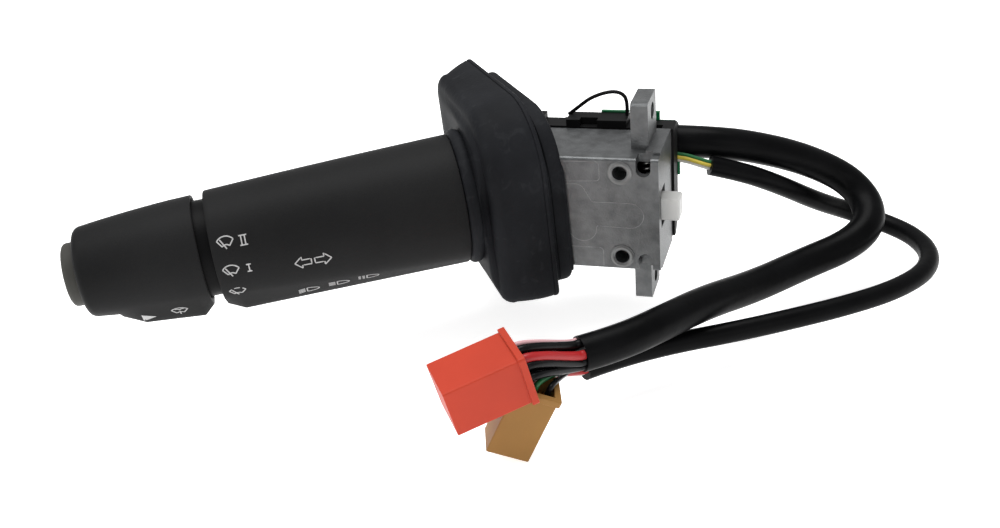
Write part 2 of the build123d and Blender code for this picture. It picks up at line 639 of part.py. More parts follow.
def make_lever_stem():
    """Steel tube with a solid neck and the upright hub that the lever pin holds."""
    hub = rod_z(HUB_R, -YOKE_HALF_H + YOKE_ROOF + 0.3, HUB_TOP)
    stem = hub + rod_x(NECK_R, 2.0, NECK_END + 1) + rod_x(TUBE_R, NECK_END, TUBE_END)
    stem -= block(-7, 6.5, -7, 7, HUB_TOP, 10)
    stem -= rod_z(LEVER_PIN_R + RUN_GAP, -20, 20)
    stem -= rod_x(TUBE_BORE_R, TUBE_BORE_START, SHAFT_SEAT)
    stem -= rod_x(SHAFT_R + RUN_GAP, SHAFT_SEAT - 1, TUBE_END + 1)
    stem -= block(TUBE_BORE_START, TUBE_BORE_START + 9, -TUBE_R - 1, 0, -2.5, 2.5)
    return on_lever(stem)


def make_grip():
    """Hollow handle with the keel that carries the symbols."""
    outer = loft([
        keeled_section(GRIP_START, GRIP_R_START, KEEL_DEPTH, KEEL_HALF_W),
        keeled_section(GRIP_END, GRIP_R_END, KEEL_DEPTH, KEEL_HALF_W),
    ], ruled=True)
    hollow_start = GRIP_START + GRIP_WALL
    inner = loft([
        keeled_section(hollow_start, grip_radius(hollow_start) - GRIP_WALL,
                       KEEL_DEPTH - GRIP_WALL, KEEL_HALF_W - 1.5),
        keeled_section(GRIP_END + 1, GRIP_R_END - GRIP_WALL,
                       KEEL_DEPTH - GRIP_WALL, KEEL_HALF_W - 1.5),
    ], ruled=True)
    grip = outer - inner
    # the keel slopes up to the round at its outer end, closed by a sloping wall
    ramp = make_face(Polyline(
        (GRIP_END + 1, 0, -GRIP_R_END), (GRIP_END + 1, 0, -40), (GRIP_END - KEEL_RAMP, 0, -40),
        (GRIP_END - KEEL_RAMP, 0, -KEEL_DEPTH), (GRIP_END, 0, -GRIP_R_END - 0.4), close=True))
    wedge = extrude(ramp, 2 * KEEL_HALF_W + GRIP_R_END, both=True)
    lining = (Pos(-2.6, 0, 0.0) * wedge) & inner_keel_space(inner)
    grip = (grip + lining) - wedge
    return on_lever(grip - rod_x(TUBE_R, GRIP_START - 1, GRIP_START + GRIP_WALL + 1))


def inner_keel_space(inner):
    """The part of the hollow that lies in the keel, below the neck ring."""
    return inner & block(GRIP_START, GRIP_END, -40, 40, -40, -NECK_RING_R - 1.0)


def make_grip_rings():
    """Two discs that centre the grip on the tube."""
    rings = []
    for s in CARRIER_RING_S:
        outer = grip_radius(s + CARRIER_RING_L) - GRIP_WALL - SEAT_GAP
        rings.append(on_lever(ring(outer, TUBE_R, s, s + CARRIER_RING_L)))
    return Compound(children=rings)


def make_contact_plate():
    """Disc on the tube's end that holds the wiper contacts and the detent posts."""
    end = TUBE_END + CONTACT_PLATE_L
    plate = ring(CONTACT_PLATE_R, SHAFT_R + 0.4, TUBE_END, end)
    for y in (-POST_Y, POST_Y):
        plate += block(end - 1, DETENT_RING_START + DETENT_RING_L, y - POST_HALF_W, y + POST_HALF_W,
                       DETENT_RING_R + NOSE_GAP, DETENT_RING_R + NOSE_GAP + POST_H)
    return on_lever(plate)


def make_wiper_contacts():
    end = TUBE_END + CONTACT_PLATE_L
    tracks = [on_lever(ring(r + TRACK_HALF_W, r - TRACK_HALF_W, end, end + CONTACT_T)) for r in TRACK_RS]
    return Compound(children=tracks)


def make_wiper_leaf():
    """Leaf spring across two posts, its nose in the first notch of the rotor."""
    low = DETENT_RING_R + NOSE_GAP + DETENT_NOSE_R
    half = POST_Y - POST_HALF_W
    s0 = DETENT_RING_START + 0.5
    s1 = DETENT_RING_START + DETENT_RING_L - 0.5
    leaf = block(s0, s1, -half, half, low, low + LEAF_THICK)
    return on_lever(leaf + rod_x(DETENT_NOSE_R - 0.1, s0, s1, 0, DETENT_RING_R + 0.4))


def make_collar():
    """Rubber ring of the boot that grips the tube and frames the handle's end."""
    end = GRIP_START - COLLAR_GAP
    start = end - COLLAR_L
    mid = (start + end) / 2
    disc = ring(COLLAR_R - COLLAR_TUBE_R, TUBE_R, end - 2.4, end)
    bead_face = Plane(origin=(mid, COLLAR_R - COLLAR_TUBE_R, 0)) * Circle(COLLAR_TUBE_R)
    bead = revolve(bead_face, Axis.X)
    return on_lever(disc + bead)


# ---- wiper rotor ----------------------------------------------------------
def key_bars(radius, width, start, end):
    bars = None
    for turn in (0, 120, 240):
        bar = Rot(turn, 0, 0) * block(start, end, -width / 2, width / 2, SHAFT_R, radius)
        bars = bar if bars is None else bars + bar
    return bars


def make_rotor_shaft():
    shaft = rod_x(SHAFT_R, SHAFT_START, SHAFT_END)
    groove = ring(SHAFT_R + 1, SHAFT_R - 0.6, SHAFT_SEAT - 1.6, SHAFT_SEAT - 0.4)
    return on_lever(shaft - groove)


def make_shaft_clip():
    clip = ring(TUBE_BORE_R - 0.15, SHAFT_R - 0.6, SHAFT_SEAT - 1.6, SHAFT_SEAT - 0.4)
    return on_lever(clip - block(SHAFT_SEAT - 3, SHAFT_SEAT, -1.5, 1.5, 0, 9))


def make_rotor():
    """Moulded rotor: detent ring, neck ring in the gap, and the keyed boss."""
    detent = ring(DETENT_RING_R, SHAFT_R, DETENT_RING_START, DETENT_RING_START + DETENT_RING_L)
    for step in range(4):
        turn = Rot(step * -DETENT_STEP, 0, 0)
        detent -= turn * rod_x(DETENT_NOSE_R + 0.1, DETENT_RING_START - 1,
                               DETENT_RING_START + DETENT_RING_L + 1, 0, DETENT_RING_R + 0.4)
    core = ring(ROTOR_BOSS_R, SHAFT_R, DETENT_RING_START + 1, SHAFT_END)
    neck = ring(NECK_RING_R, SHAFT_R, NECK_RING_START, NECK_RING_END)
    neck = chamfer(neck.edges().filter_by(GeomType.CIRCLE).sort_by(SortBy.RADIUS)[-2:], 0.6)
    boss = rod_x(ROTOR_BOSS_R, SHAFT_END, ROTOR_BOSS_END)
    boss += key_bars(KEY_R, KEY_W, NECK_RING_END - 1, ROTOR_BOSS_END)
    rotor = boss + core + neck + detent
    rotor -= rod_x(SHAFT_R, NECK_RING_START, SHAFT_END)
    return on_lever(rotor - rod_x(KNOB_SCREW_R, ROTOR_BOSS_END - 10, ROTOR_BOSS_END + 1))


def make_rotor_bridge():
    """Brass slider on the rotor that sweeps the wiper contacts."""
    start = TUBE_END + CONTACT_PLATE_L + CONTACT_T + 0.25
    disc = ring(TRACK_RS[-1] + 1.2, SHAFT_R + SOFT_GAP,
                DETENT_RING_START - LEAF_THICK, DETENT_RING_START)
    for r in TRACK_RS:
        disc += block(start, DETENT_RING_START - CONTACT_T, -BRUSH_HALF_W, BRUSH_HALF_W,
                      r - BRUSH_HALF_W, r + BRUSH_HALF_W)
    return on_lever(disc)


def make_knob_screw():
    head = BULKHEAD_S + BULKHEAD_L + FREE_GAP
    screw = rod_x(KNOB_SCREW_R, ROTOR_BOSS_END - 9.5, head)
    screw += rod_x(KNOB_SCREW_HEAD_R, head, head + 2.2)
    return on_lever(screw)


# ---- washer knob and horn button ------------------------------------------
def knob_radius(s):
    """Outer radius of the knob, a straight taper with a slight bulge."""
    share = (s - KNOB_START) / KNOB_LENGTH
    straight = KNOB_R_START + (KNOB_R_END - KNOB_R_START) * share
    return straight + 4 * KNOB_BULGE * share * (1 - share)


def knob_form(start, end, wall):
    """The knob's round form between two places, inside a wall."""
    middle = (start + end) / 2
    side = ThreePointArc((start, knob_radius(start) - wall), (middle, knob_radius(middle) - wall),
                         (end, knob_radius(end) - wall))
    closing = Polyline(side @ 1, (end, 0), (start, 0), side @ 0)
    return revolve(make_face(side + closing), Axis.X)


def make_knob_shell():
    """Hollow end knob with its own short keel."""
    end_wall = KNOB_END - KNOB_END_WALL
    outer = knob_form(KNOB_START, KNOB_END, 0)
    outer = fillet(outer.faces().sort_by(Axis.X)[-1].edges(), KNOB_EDGE_R)
    ramp_start = KNOB_START + KNOB_KEEL_FLAT
    ramp_end = KNOB_START + KNOB_KEEL_END
    first = keeled_section(KNOB_START, KNOB_R_START - RUN_GAP, KNOB_KEEL_DEPTH, KNOB_KEEL_HALF_W)
    second = keeled_section(ramp_start, knob_radius(ramp_start) - RUN_GAP,
                            KNOB_KEEL_DEPTH - KNOB_KEEL_RISE, KNOB_KEEL_HALF_W)
    low = knob_radius(ramp_end) - RUN_GAP
    third = keeled_section(ramp_end, low - RUN_GAP, low, KNOB_KEEL_HALF_W / 2)
    keel = loft([first, second], ruled=True) + loft([second, third], ruled=True)
    corner = Box(KNOB_KEEL_CORNER, 4 * KNOB_R_START, KNOB_KEEL_CORNER)
    keel -= Pos(KNOB_START, 0, -KNOB_KEEL_DEPTH) * Rot(0, 45, 0) * corner
    shell = outer + keel - knob_form(KNOB_START, end_wall, KNOB_WALL)
    return on_lever(shell - rod_x(BUTTON_R + RUN_GAP * 2, end_wall - 1, KNOB_END + 1))


def make_knob_core():
    """Keyed tube and bulkhead that carry the knob on the rotor's boss."""
    bulkhead_end = BULKHEAD_S + BULKHEAD_L
    tube = ring(KEY_R + 1.6, ROTOR_BOSS_R + RUN_GAP, KNOB_CORE_START, bulkhead_end)
    flange = ring(KEY_R + 4.0, ROTOR_BOSS_R + RUN_GAP, KNOB_CORE_START, KNOB_CORE_START + 1.6)
    bulkhead = ring(knob_radius(bulkhead_end) - KNOB_WALL - RUN_GAP, KNOB_SCREW_R + 0.3,
                    BULKHEAD_S, bulkhead_end)
    core = tube + flange
    core -= key_bars(KEY_R + 0.3, KEY_W + 0.4, KNOB_CORE_START - 1, BULKHEAD_S)
    return on_lever(core + bulkhead)


def make_washer_spring():
    length = KNOB_CORE_START - NECK_RING_END
    spring = coil(WASHER_COIL_R, WASHER_WIRE_R, length, WASHER_TURNS)
    return on_lever(Pos(NECK_RING_END, 0, 0) * Rot(0, 90, 0) * spring)


def make_horn_button():
    """Domed cap that stands out of the knob's end, with a flange behind the wall."""
    wall = KNOB_END - KNOB_END_WALL
    flange_end = wall - 0.2
    flange = flange_end - BUTTON_FLANGE_L
    crown = 0.8
    cap = turned([
        (flange, BUTTON_R - BUTTON_WALL), (flange, BUTTON_FLANGE_R), (flange_end, BUTTON_FLANGE_R),
        (flange_end, BUTTON_R), (BUTTON_TIP - crown - 0.6, BUTTON_R),
        (BUTTON_TIP - crown, BUTTON_R - 0.8), (BUTTON_TIP - 0.25, BUTTON_R * 0.62),
        (BUTTON_TIP, 0), (BUTTON_TIP - 2.6, 0), (BUTTON_TIP - 2.6, BUTTON_R - BUTTON_WALL)])
    return on_lever(cap)


def make_horn_spring():
    start = BULKHEAD_S + BULKHEAD_L
    length = KNOB_END - KNOB_END_WALL - 0.2 - BUTTON_FLANGE_L - start
    return on_lever(Pos(start, 0, 0) * Rot(0, 90, 0) * coil(BUTTON_R - 1.2, 0.5, length, 3))


def make_horn_contacts():
    start = BULKHEAD_S + BULKHEAD_L
    return on_lever(ring(8.6, 5.6, start, start + CONTACT_T))


# ---- boot -----------------------------------------------------------------
def boot_outline(x, bounds, corners, inset=0.0):
    """A rectangle square to the boot's axis, with a radius for each of its corners."""
    y0, y1, z0, z1 = bounds
    here = Plane(origin=(x, (y0 + y1) / 2, (z0 + z1) / 2), x_dir=(0, 1, 0), z_dir=(1, 0, 0))
    outline = Rectangle(y1 - y0 - 2 * inset, z1 - z0 - 2 * inset)
    for side, rise, radius in zip((-1, 1, 1, -1), (1, 1, -1, -1), corners):
        corner = outline.vertices().sort_by(lambda vertex: side * vertex.X + rise * vertex.Y)[-1]
        outline = fillet(corner, max(radius - inset, 1.0))
    return here * outline


def boot_slab(x0, x1, bounds, corners, inset=0.0):
    return extrude(boot_outline(x0, bounds, corners, inset), x1 - x0)


RIM_BACK = -RIM_T
GROOVE_BACK = RIM_BACK - GROOVE_W
LIP_BACK = GROOVE_BACK - REAR_LIP_T


def make_boot_rim():
    """Front lip, groove and rear lip that hold the edge of a trim panel."""
    rim = boot_slab(RIM_BACK, 0, RIM, RIM_CORNERS)
    rim += boot_slab(GROOVE_BACK, RIM_BACK, THROAT, THROAT_CORNERS)
    rim += boot_slab(LIP_BACK, GROOVE_BACK, THROAT, THROAT_CORNERS, -REAR_LIP)
    return on_boot(rim - boot_slab(LIP_BACK - 1, 1, THROAT, THROAT_CORNERS, THROAT_WALL))


def make_boot_skirt():
    """Tapered rubber hood from the rim to the collar."""
    outer = loft([
        boot_outline(0, RIM, RIM_CORNERS),
        boot_outline(SKIRT_L, CREASE, CREASE_CORNERS),
    ], ruled=True)
    inner = loft([
        boot_outline(-0.5, RIM, RIM_CORNERS, SKIRT_WALL),
        boot_outline(SKIRT_L - SKIRT_WALL, CREASE, CREASE_CORNERS, SKIRT_WALL),
    ], ruled=True)
    skirt = on_boot(outer - inner)
    skirt -= on_lever(rod_x(COLLAR_R - COLLAR_TUBE_R + SOFT_GAP, BOOT_REACH, GRIP_START))
    bead_room = rod_x(COLLAR_R + SOFT_GAP, GRIP_START - COLLAR_GAP - COLLAR_L - SOFT_GAP,
                      GRIP_START + 10)
    return skirt - on_lever(bead_room)


def make_boot_bellows():
    """Folded rubber tube that joins the skirt's mouth to the collar."""
    pitch = (BELLOWS_END - BELLOWS_START) / (len(BELLOWS_R) - 1)
    outside = [(BELLOWS_START + i * pitch, r) for i, r in enumerate(BELLOWS_R)]
    inside = [(s, r - BELLOWS_WALL) for s, r in reversed(outside)]
    return on_lever(turned(outside + inside))


def make_boot_frame():
    """Stiff frame inside the boot, screwed to the housing's cut end."""
    start = -FRAME_T
    frame = boot_slab(start, start + FRAME_T, THROAT, THROAT_CORNERS, THROAT_WALL)
    frame += boot_slab(start + FRAME_T, start + FRAME_T + FRAME_FLANGE, THROAT, THROAT_CORNERS,
                       THROAT_WALL - FRAME_FLANGE_OUT)
    frame = on_boot(frame)
    frame -= square_to_boot(block(0, 3 * BOOT_REACH, *FRAME_WINDOW))
    for y, z in FRAME_SCREWS:
        frame -= square_to_boot(rod_x(FRAME_SCREW_R + SEAL_GAP, 0, 2 * BOOT_REACH, y, z))
        frame -= square_to_boot(rod_x(SCREW_HEAD_R, BOOT_REACH, 2 * BOOT_REACH, y, z))
    return frame


def make_frame_screws():
    screws = []
    seat = BOOT_REACH
    for y, z in FRAME_SCREWS:
        shank = rod_x(FRAME_SCREW_R, HOUSING_REACH - FRAME_SCREW_BITE + 0.5, seat, y, z)
        screws.append(square_to_boot(shank + rod_x(FRAME_HEAD_R, seat, seat + FRAME_HEAD_H, y, z)))
    return Compound(children=screws)


# ---- harness --------------------------------------------------------------
def route_radii(points):
    """Arc radius at each inner point, as large as its two runs allow."""
    radii = []
    for before, here, after in zip(points, points[1:], points[2:]):
        a = Vector(*here) - Vector(*before)
        b = Vector(*after) - Vector(*here)
        half_turn = radians(a.get_angle(b)) / 2
        radii.append(0.45 * min(a.length, b.length) * cos(half_turn) / sin(half_turn))
    return radii


def cord_tube(name, points, radius):
    """Round tube along straight runs joined by arcs."""
    radii = route_radii(points)
    path = FilletPolyline(*points, radius=radii)
    start = Plane(origin=path @ 0, z_dir=path % 0)
    tube = sweep(start * Circle(radius), path=path, transition=Transition.RIGHT)
    share = tube.volume / (3.14159265 * radius * radius * path.length)
    print(name, "length", round(path.length, 1), "volume share", round(share, 4),
          "radii in diameters", [round(r / (2 * radius), 1) for r in radii])
    return tube


def connector(size, at, axis, up):
    """Plug housing with an open, lipped wire end and a closed mating end."""
    length, width, height = size
    shell = Box(length, width, height)
    shell = fillet(shell.edges().filter_by(Axis.X), 0.6)
    lip = Box(CONNECTOR_LIP_L, width + 2 * CONNECTOR_LIP, height + 2 * CONNECTOR_LIP)
    lip = Pos((length - CONNECTOR_LIP_L) / 2, 0, 0) * lip
    shell += fillet(lip.edges().filter_by(Axis.X), 1.0)
    cavity = Pos(length / 2 - CAVITY_DEPTH / 2 + 0.5, 0, 0)
    shell -= cavity * Box(CAVITY_DEPTH + 1, width - 2 * SHELL_WALL, height - 2 * SHELL_WALL)
    return Plane(origin=at, x_dir=axis, z_dir=up).location * shell


def terminal_block(size, at, axis, up, rows, columns):
    """Wire seals and crimp barrels that stand in the open wire end."""
    length, width, height = size
    floor = length / 2 - CAVITY_DEPTH
    pitch_y = (width - 2 * SHELL_WALL) / columns
    pitch_z = (height - 2 * SHELL_WALL) / rows
    barrels = []
    here = Plane(origin=at, x_dir=axis, z_dir=up).location
    for row in range(rows):
        for column in range(columns):
            y = (column - (columns - 1) / 2) * pitch_y
            z = (row - (rows - 1) / 2) * pitch_z
            barrels.append(here * rod_x(BARREL_R, floor, floor + BARREL_L, y, z))
    return Compound(children=barrels)


def wire_set(sleeve, sleeve_route, size, at, axis, up, wires):
    """Wires from a sleeve's cut end into the open end of a connector."""
    start = sleeve_route[-1]
    heading = Vector(*start) - Vector(*sleeve_route[-2])
    length, width, height = size
    leave = Plane(origin=start, x_dir=heading.cross(Vector(0, 0, 1)), z_dir=heading)
    enter = Plane(origin=at, x_dir=axis, z_dir=up)
    tubes = []
    for (y0, z0), (y1, z1), radius in wires:
        points = [
            leave.from_local_coords((y0, z0, 0)), leave.from_local_coords((y0, z0, WIRE_LEAD)),
            enter.from_local_coords((length / 2 + WIRE_LEAD, y1, z1)),
            enter.from_local_coords((length / 2 - CAVITY_DEPTH + BARREL_L, y1, z1)),
        ]
        route = [tuple(point) for point in points]
        path = FilletPolyline(*route, radius=route_radii(route))
        tube = sweep(Plane(origin=path @ 0, z_dir=path % 0) * Circle(radius), path=path,
                     transition=Transition.RIGHT)
        tubes.append(tube)
    return Compound(children=tubes)


save("switch_housing", make_housing())
save("rear_carrier", make_rear_carrier())
save("circuit_board", make_board())
save("rear_cover", make_rear_cover())
save("cover_screws", make_cover_screws())
save("contact_strips", make_contact_strips())
save("indicator_detent_spring", make_indicator_leaf())
save("swing_yoke", make_yoke())
save("swing_pins", make_swing_pins())
save("lever_pin", make_lever_pin())
save("flash_return_spring", make_flash_spring())
save("indicator_contact_bridge", make_contact_bridge())
save("cancel_finger", make_finger())
save("cancel_finger_pin", make_finger_pin())
save("finger_centring_springs", make_centring_springs())
save("lever_stem", make_lever_stem())
save("grip_shell", make_grip())
save("grip_centring_rings", make_grip_rings())
save("wiper_contact_plate", make_contact_plate())
save("wiper_contacts", make_wiper_contacts())
save("wiper_detent_spring", make_wiper_leaf())
save("boot_collar", make_collar())
save("rotor_shaft", make_rotor_shaft())
save("shaft_clip", make_shaft_clip())
save("wiper_rotor", make_rotor())
save("rotor_contact_bridge", make_rotor_bridge())
save("knob_screw", make_knob_screw())
save("knob_shell", make_knob_shell())
save("knob_core", make_knob_core())
save("washer_return_spring", make_washer_spring())
save("horn_button", make_horn_button())
save("horn_return_spring", make_horn_spring())
save("horn_contact_ring", make_horn_contacts())
save("boot_rim", make_boot_rim())
save("boot_skirt", make_boot_skirt())
save("boot_bellows", make_boot_bellows())
save("boot_frame", make_boot_frame())
save("boot_frame_screws", make_frame_screws())
large_sleeve = cord_tube("large sleeve", BIG_ROUTE, BIG_SLEEVE_R)
small_sleeve = cord_tube("small sleeve", SMALL_ROUTE, SMALL_SLEEVE_R)
save("harness_sleeve_large", large_sleeve)
save("harness_sleeve_small", small_sleeve)
save("harness_lead", cord_tube("bare wires at the housing", LEAD_ROUTE, LEAD_R) - small_sleeve)
save("orange_wires", wire_set(large_sleeve, BIG_ROUTE, ORANGE_SIZE, ORANGE_AT, ORANGE_AXIS,
                              ORANGE_UP, ORANGE_WIRES))
save("tan_wires", wire_set(small_sleeve, SMALL_ROUTE, TAN_SIZE, TAN_AT, TAN_AXIS,
                           (0, 0, 1), TAN_WIRES))
save("jumper_wire", cord_tube("jumper wire", JUMPER_ROUTE, JUMPER_R))
save("orange_connector", connector(ORANGE_SIZE, ORANGE_AT, ORANGE_AXIS, ORANGE_UP))
save("tan_connector", connector(TAN_SIZE, TAN_AT, TAN_AXIS, (0, 0, 1)))
save("orange_terminals", terminal_block(ORANGE_SIZE, ORANGE_AT, ORANGE_AXIS, ORANGE_UP, 3, 4))
save("tan_terminals", terminal_block(TAN_SIZE, TAN_AT, TAN_AXIS, (0, 0, 1), 2, 3))
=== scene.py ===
"""Combination stalk switch: the dressed model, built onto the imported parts."""
import json
from math import acos, atan2, cos, hypot, pi, radians, sin, sqrt

import bpy
from mathutils import Matrix, Vector

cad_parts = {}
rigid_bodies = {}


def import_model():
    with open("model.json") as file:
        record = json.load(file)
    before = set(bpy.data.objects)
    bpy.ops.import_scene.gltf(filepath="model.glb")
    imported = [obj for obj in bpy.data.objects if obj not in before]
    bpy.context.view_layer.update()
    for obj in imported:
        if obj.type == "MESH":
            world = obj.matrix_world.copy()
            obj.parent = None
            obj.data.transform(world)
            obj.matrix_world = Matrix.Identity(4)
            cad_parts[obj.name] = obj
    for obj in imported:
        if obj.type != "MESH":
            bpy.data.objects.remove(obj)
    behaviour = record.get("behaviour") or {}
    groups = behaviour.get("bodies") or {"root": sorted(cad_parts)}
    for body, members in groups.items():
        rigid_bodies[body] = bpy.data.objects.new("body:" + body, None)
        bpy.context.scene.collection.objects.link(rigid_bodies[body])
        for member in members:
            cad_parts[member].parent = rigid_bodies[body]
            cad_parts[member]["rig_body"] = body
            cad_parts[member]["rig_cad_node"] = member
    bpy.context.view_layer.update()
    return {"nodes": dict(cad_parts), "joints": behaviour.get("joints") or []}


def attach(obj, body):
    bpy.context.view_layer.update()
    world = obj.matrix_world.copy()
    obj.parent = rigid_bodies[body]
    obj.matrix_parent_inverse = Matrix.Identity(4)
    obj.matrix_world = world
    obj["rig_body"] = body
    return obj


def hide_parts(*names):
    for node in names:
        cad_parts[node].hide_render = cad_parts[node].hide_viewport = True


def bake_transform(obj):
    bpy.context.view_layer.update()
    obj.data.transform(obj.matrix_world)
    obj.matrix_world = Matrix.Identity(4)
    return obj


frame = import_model()


# ---------------------------------------------------------------------------
# The view, from in front and above, a matt white table just under the lowest
# piece, and three softbox lamps with an even white surround.
FLOOR = -0.0522
EYE = Vector((0.076755, -0.424278, 0.199249))
RIGHT = Vector((0.95724, 0.27775, -0.08089))
DOWN = Vector((0.06107, -0.46731, -0.88198))
FORWARD = Vector((-0.28277, 0.83933, -0.46429))

bpy.ops.object.select_all(action="DESELECT")
bpy.ops.object.camera_add(location=EYE)
camera = bpy.context.object
camera.matrix_world = Matrix.Translation(EYE) @ Matrix((RIGHT, -DOWN, -FORWARD)).transposed().to_4x4()
camera.data.sensor_width = 36
camera.data.lens = 43.2
camera.data.clip_start = 0.01
bpy.context.scene.camera = camera

bpy.ops.mesh.primitive_plane_add(size=6, location=(0, 0.4, FLOOR))
table = bpy.context.object
table.name = "table_top"
table_finish = bpy.data.materials.new("table_white")
table_finish.use_nodes = True
matt_white = table_finish.node_tree.nodes["Principled BSDF"].inputs
matt_white["Base Color"].default_value = (0.93, 0.93, 0.93, 1)
matt_white["Roughness"].default_value = 0.9
matt_white["Emission Color"].default_value = (1, 1, 1, 1)
matt_white["Emission Strength"].default_value = 0.72
table.data.materials.append(table_finish)

world = bpy.data.worlds.new("studio")
bpy.context.scene.world = world
world.use_nodes = True
surround = world.node_tree.nodes["Background"].inputs
surround["Color"].default_value = (1, 1, 1, 1)
surround["Strength"].default_value = 0.5
bpy.context.scene.view_settings.view_transform = "Standard"


def softbox(name, place, aim, size, power):
    """A soft rectangular lamp that faces a point."""
    bpy.ops.object.light_add(type="AREA", location=place)
    lamp = bpy.context.object
    lamp.name = name
    lamp.rotation_euler = (Vector(aim) - Vector(place)).to_track_quat("-Z", "Y").to_euler()
    lamp.data.shape = "RECTANGLE"
    lamp.data.size = size[0]
    lamp.data.size_y = size[1]
    lamp.data.energy = power


softbox("softbox_top", (-0.15, 0.1, 0.75), (-0.05, 0, 0), (0.9, 0.5), 7)
softbox("softbox_left", (-0.75, -0.5, 0.45), (-0.05, 0, 0), (0.6, 0.6), 1.3)
softbox("softbox_right", (0.7, -0.55, 0.35), (0, 0, 0), (0.5, 0.5), 0.9)


# ---------------------------------------------------------------------------
# Harness sleeves: two soft black plastic tubes that leave the rear cover, turn
# back under the switch and end at the plugs. Extruded PVC, slightly glossy.
def coat(name, colour, rough, grain=900.0, bump=0.12, vary=0.12, metal=0.0, patch=40.0, scuff=0.0,
         shine=0.4):
    """A finish with a fine grain, broad variation in tone and optional pale scuffs."""
    material = bpy.data.materials.new(name)
    material.use_nodes = True
    tree = material.node_tree
    shader = tree.nodes["Principled BSDF"]
    shader.inputs["Metallic"].default_value = metal
    shader.inputs["Specular IOR Level"].default_value = shine
    place = tree.nodes.new("ShaderNodeTexCoord")
    broad = tree.nodes.new("ShaderNodeTexNoise")
    broad.inputs["Scale"].default_value = patch
    broad.inputs["Detail"].default_value = 5
    fine = tree.nodes.new("ShaderNodeTexNoise")
    fine.inputs["Scale"].default_value = grain
    fine.inputs["Detail"].default_value = 3
    tone = tree.nodes.new("ShaderNodeValToRGB")
    tone.color_ramp.elements[0].position = 0.3
    tone.color_ramp.elements[1].position = 0.7
    tone.color_ramp.elements[0].color = [c * (1 - vary) for c in colour] + [1]
    tone.color_ramp.elements[1].color = [min(1, c * (1 + vary)) for c in colour] + [1]
    sheen = tree.nodes.new("ShaderNodeMapRange")
    sheen.inputs["To Min"].default_value = max(0.05, rough - 0.07)
    sheen.inputs["To Max"].default_value = min(1, rough + 0.07)
    relief = tree.nodes.new("ShaderNodeBump")
    relief.inputs["Strength"].default_value = bump
    relief.inputs["Distance"].default_value = 0.0004
    link = tree.links.new
    link(place.outputs["Object"], broad.inputs["Vector"])
    link(place.outputs["Object"], fine.inputs["Vector"])
    link(broad.outputs["Fac"], tone.inputs["Fac"])
    link(broad.outputs["Fac"], sheen.inputs["Value"])
    link(sheen.outputs["Result"], shader.inputs["Roughness"])
    link(fine.outputs["Fac"], relief.inputs["Height"])
    link(relief.outputs["Normal"], shader.inputs["Normal"])
    colour_out = tone.outputs["Color"]
    if scuff:
        marks = tree.nodes.new("ShaderNodeTexNoise")
        marks.inputs["Scale"].default_value = 130
        marks.inputs["Detail"].default_value = 8
        marks.inputs["Distortion"].default_value = 1.6
        worn = tree.nodes.new("ShaderNodeValToRGB")
        worn.color_ramp.elements[0].position = 0.58
        worn.color_ramp.elements[1].position = 0.72
        worn.color_ramp.elements[1].color = (scuff, scuff, scuff, 1)
        mix = tree.nodes.new("ShaderNodeMixRGB")
        mix.inputs["Color2"].default_value = (0.22, 0.23, 0.24, 1)
        link(place.outputs["Object"], marks.inputs["Vector"])
        link(marks.outputs["Fac"], worn.inputs["Fac"])
        link(worn.outputs["Color"], mix.inputs["Fac"])
        link(colour_out, mix.inputs["Color1"])
        colour_out = mix.outputs["Color"]
    link(colour_out, shader.inputs["Base Color"])
    return material


LARGE_SLEEVE = 0.013
SMALL_SLEEVE = 0.008
large_route = (
    (0.0, 0.0274, 0.0116), (0.009, 0.0274, 0.0116), (0.019, 0.0293, 0.0106),
    (0.031, 0.0347, 0.0076), (0.048, 0.0445, 0.0002), (0.0625, 0.0525, -0.0085),
    (0.0728, 0.0547, -0.0155), (0.0804, 0.0488, -0.022), (0.0818, 0.0375, -0.027),
    (0.0737, 0.027, -0.0315), (0.0575, 0.014, -0.034), (0.0399, -0.0085, -0.0334),
    (0.0237, -0.034, -0.0276), (0.01, -0.0575, -0.025), (-0.0015, -0.0725, -0.0242),
    (-0.0125, -0.0815, -0.024),
)
small_route = (
    (0.019, 0.0204, 0.0044), (0.031, 0.0246, 0.0004), (0.045, 0.0365, -0.010),
    (0.060, 0.052, -0.024), (0.073, 0.066, -0.0345), (0.087, 0.0635, -0.0378),
    (0.0996, 0.0524, -0.038), (0.1063, 0.0366, -0.038), (0.104, 0.020, -0.038),
    (0.092, 0.0036, -0.038), (0.075, -0.0104, -0.038), (0.0554, -0.0236, -0.038),
    (0.0346, -0.0364, -0.038), (0.0142, -0.0474, -0.038), (-0.0046, -0.0614, -0.0375),
    (-0.014, -0.0715, -0.037),
)


def cord(name, route, thick, finish):
    """A round flexible line through its route's points."""
    line = bpy.data.curves.new(name, "CURVE")
    line.dimensions = "3D"
    line.bevel_depth = thick / 2
    line.bevel_resolution = 8
    line.resolution_u = 16
    line.use_fill_caps = True
    spline = line.splines.new("NURBS")
    spline.points.add(len(route) - 1)
    for point, place in zip(spline.points, route):
        point.co = (*place, 1)
    spline.order_u = 3
    spline.use_endpoint_u = True
    piece = bpy.data.objects.new(name, line)
    bpy.context.scene.collection.objects.link(piece)
    line.materials.append(finish)
    return piece


def length_of(route):
    """Length of the smooth line, measured on the spline itself."""
    probe = cord("probe", route, 0, None)
    probe.data.bevel_depth = 0
    mesh = bpy.data.meshes.new_from_object(probe.evaluated_get(bpy.context.evaluated_depsgraph_get()))
    points = [v.co.copy() for v in mesh.vertices]
    bpy.data.objects.remove(probe)
    return sum((b - a).length for a, b in zip(points, points[1:]))


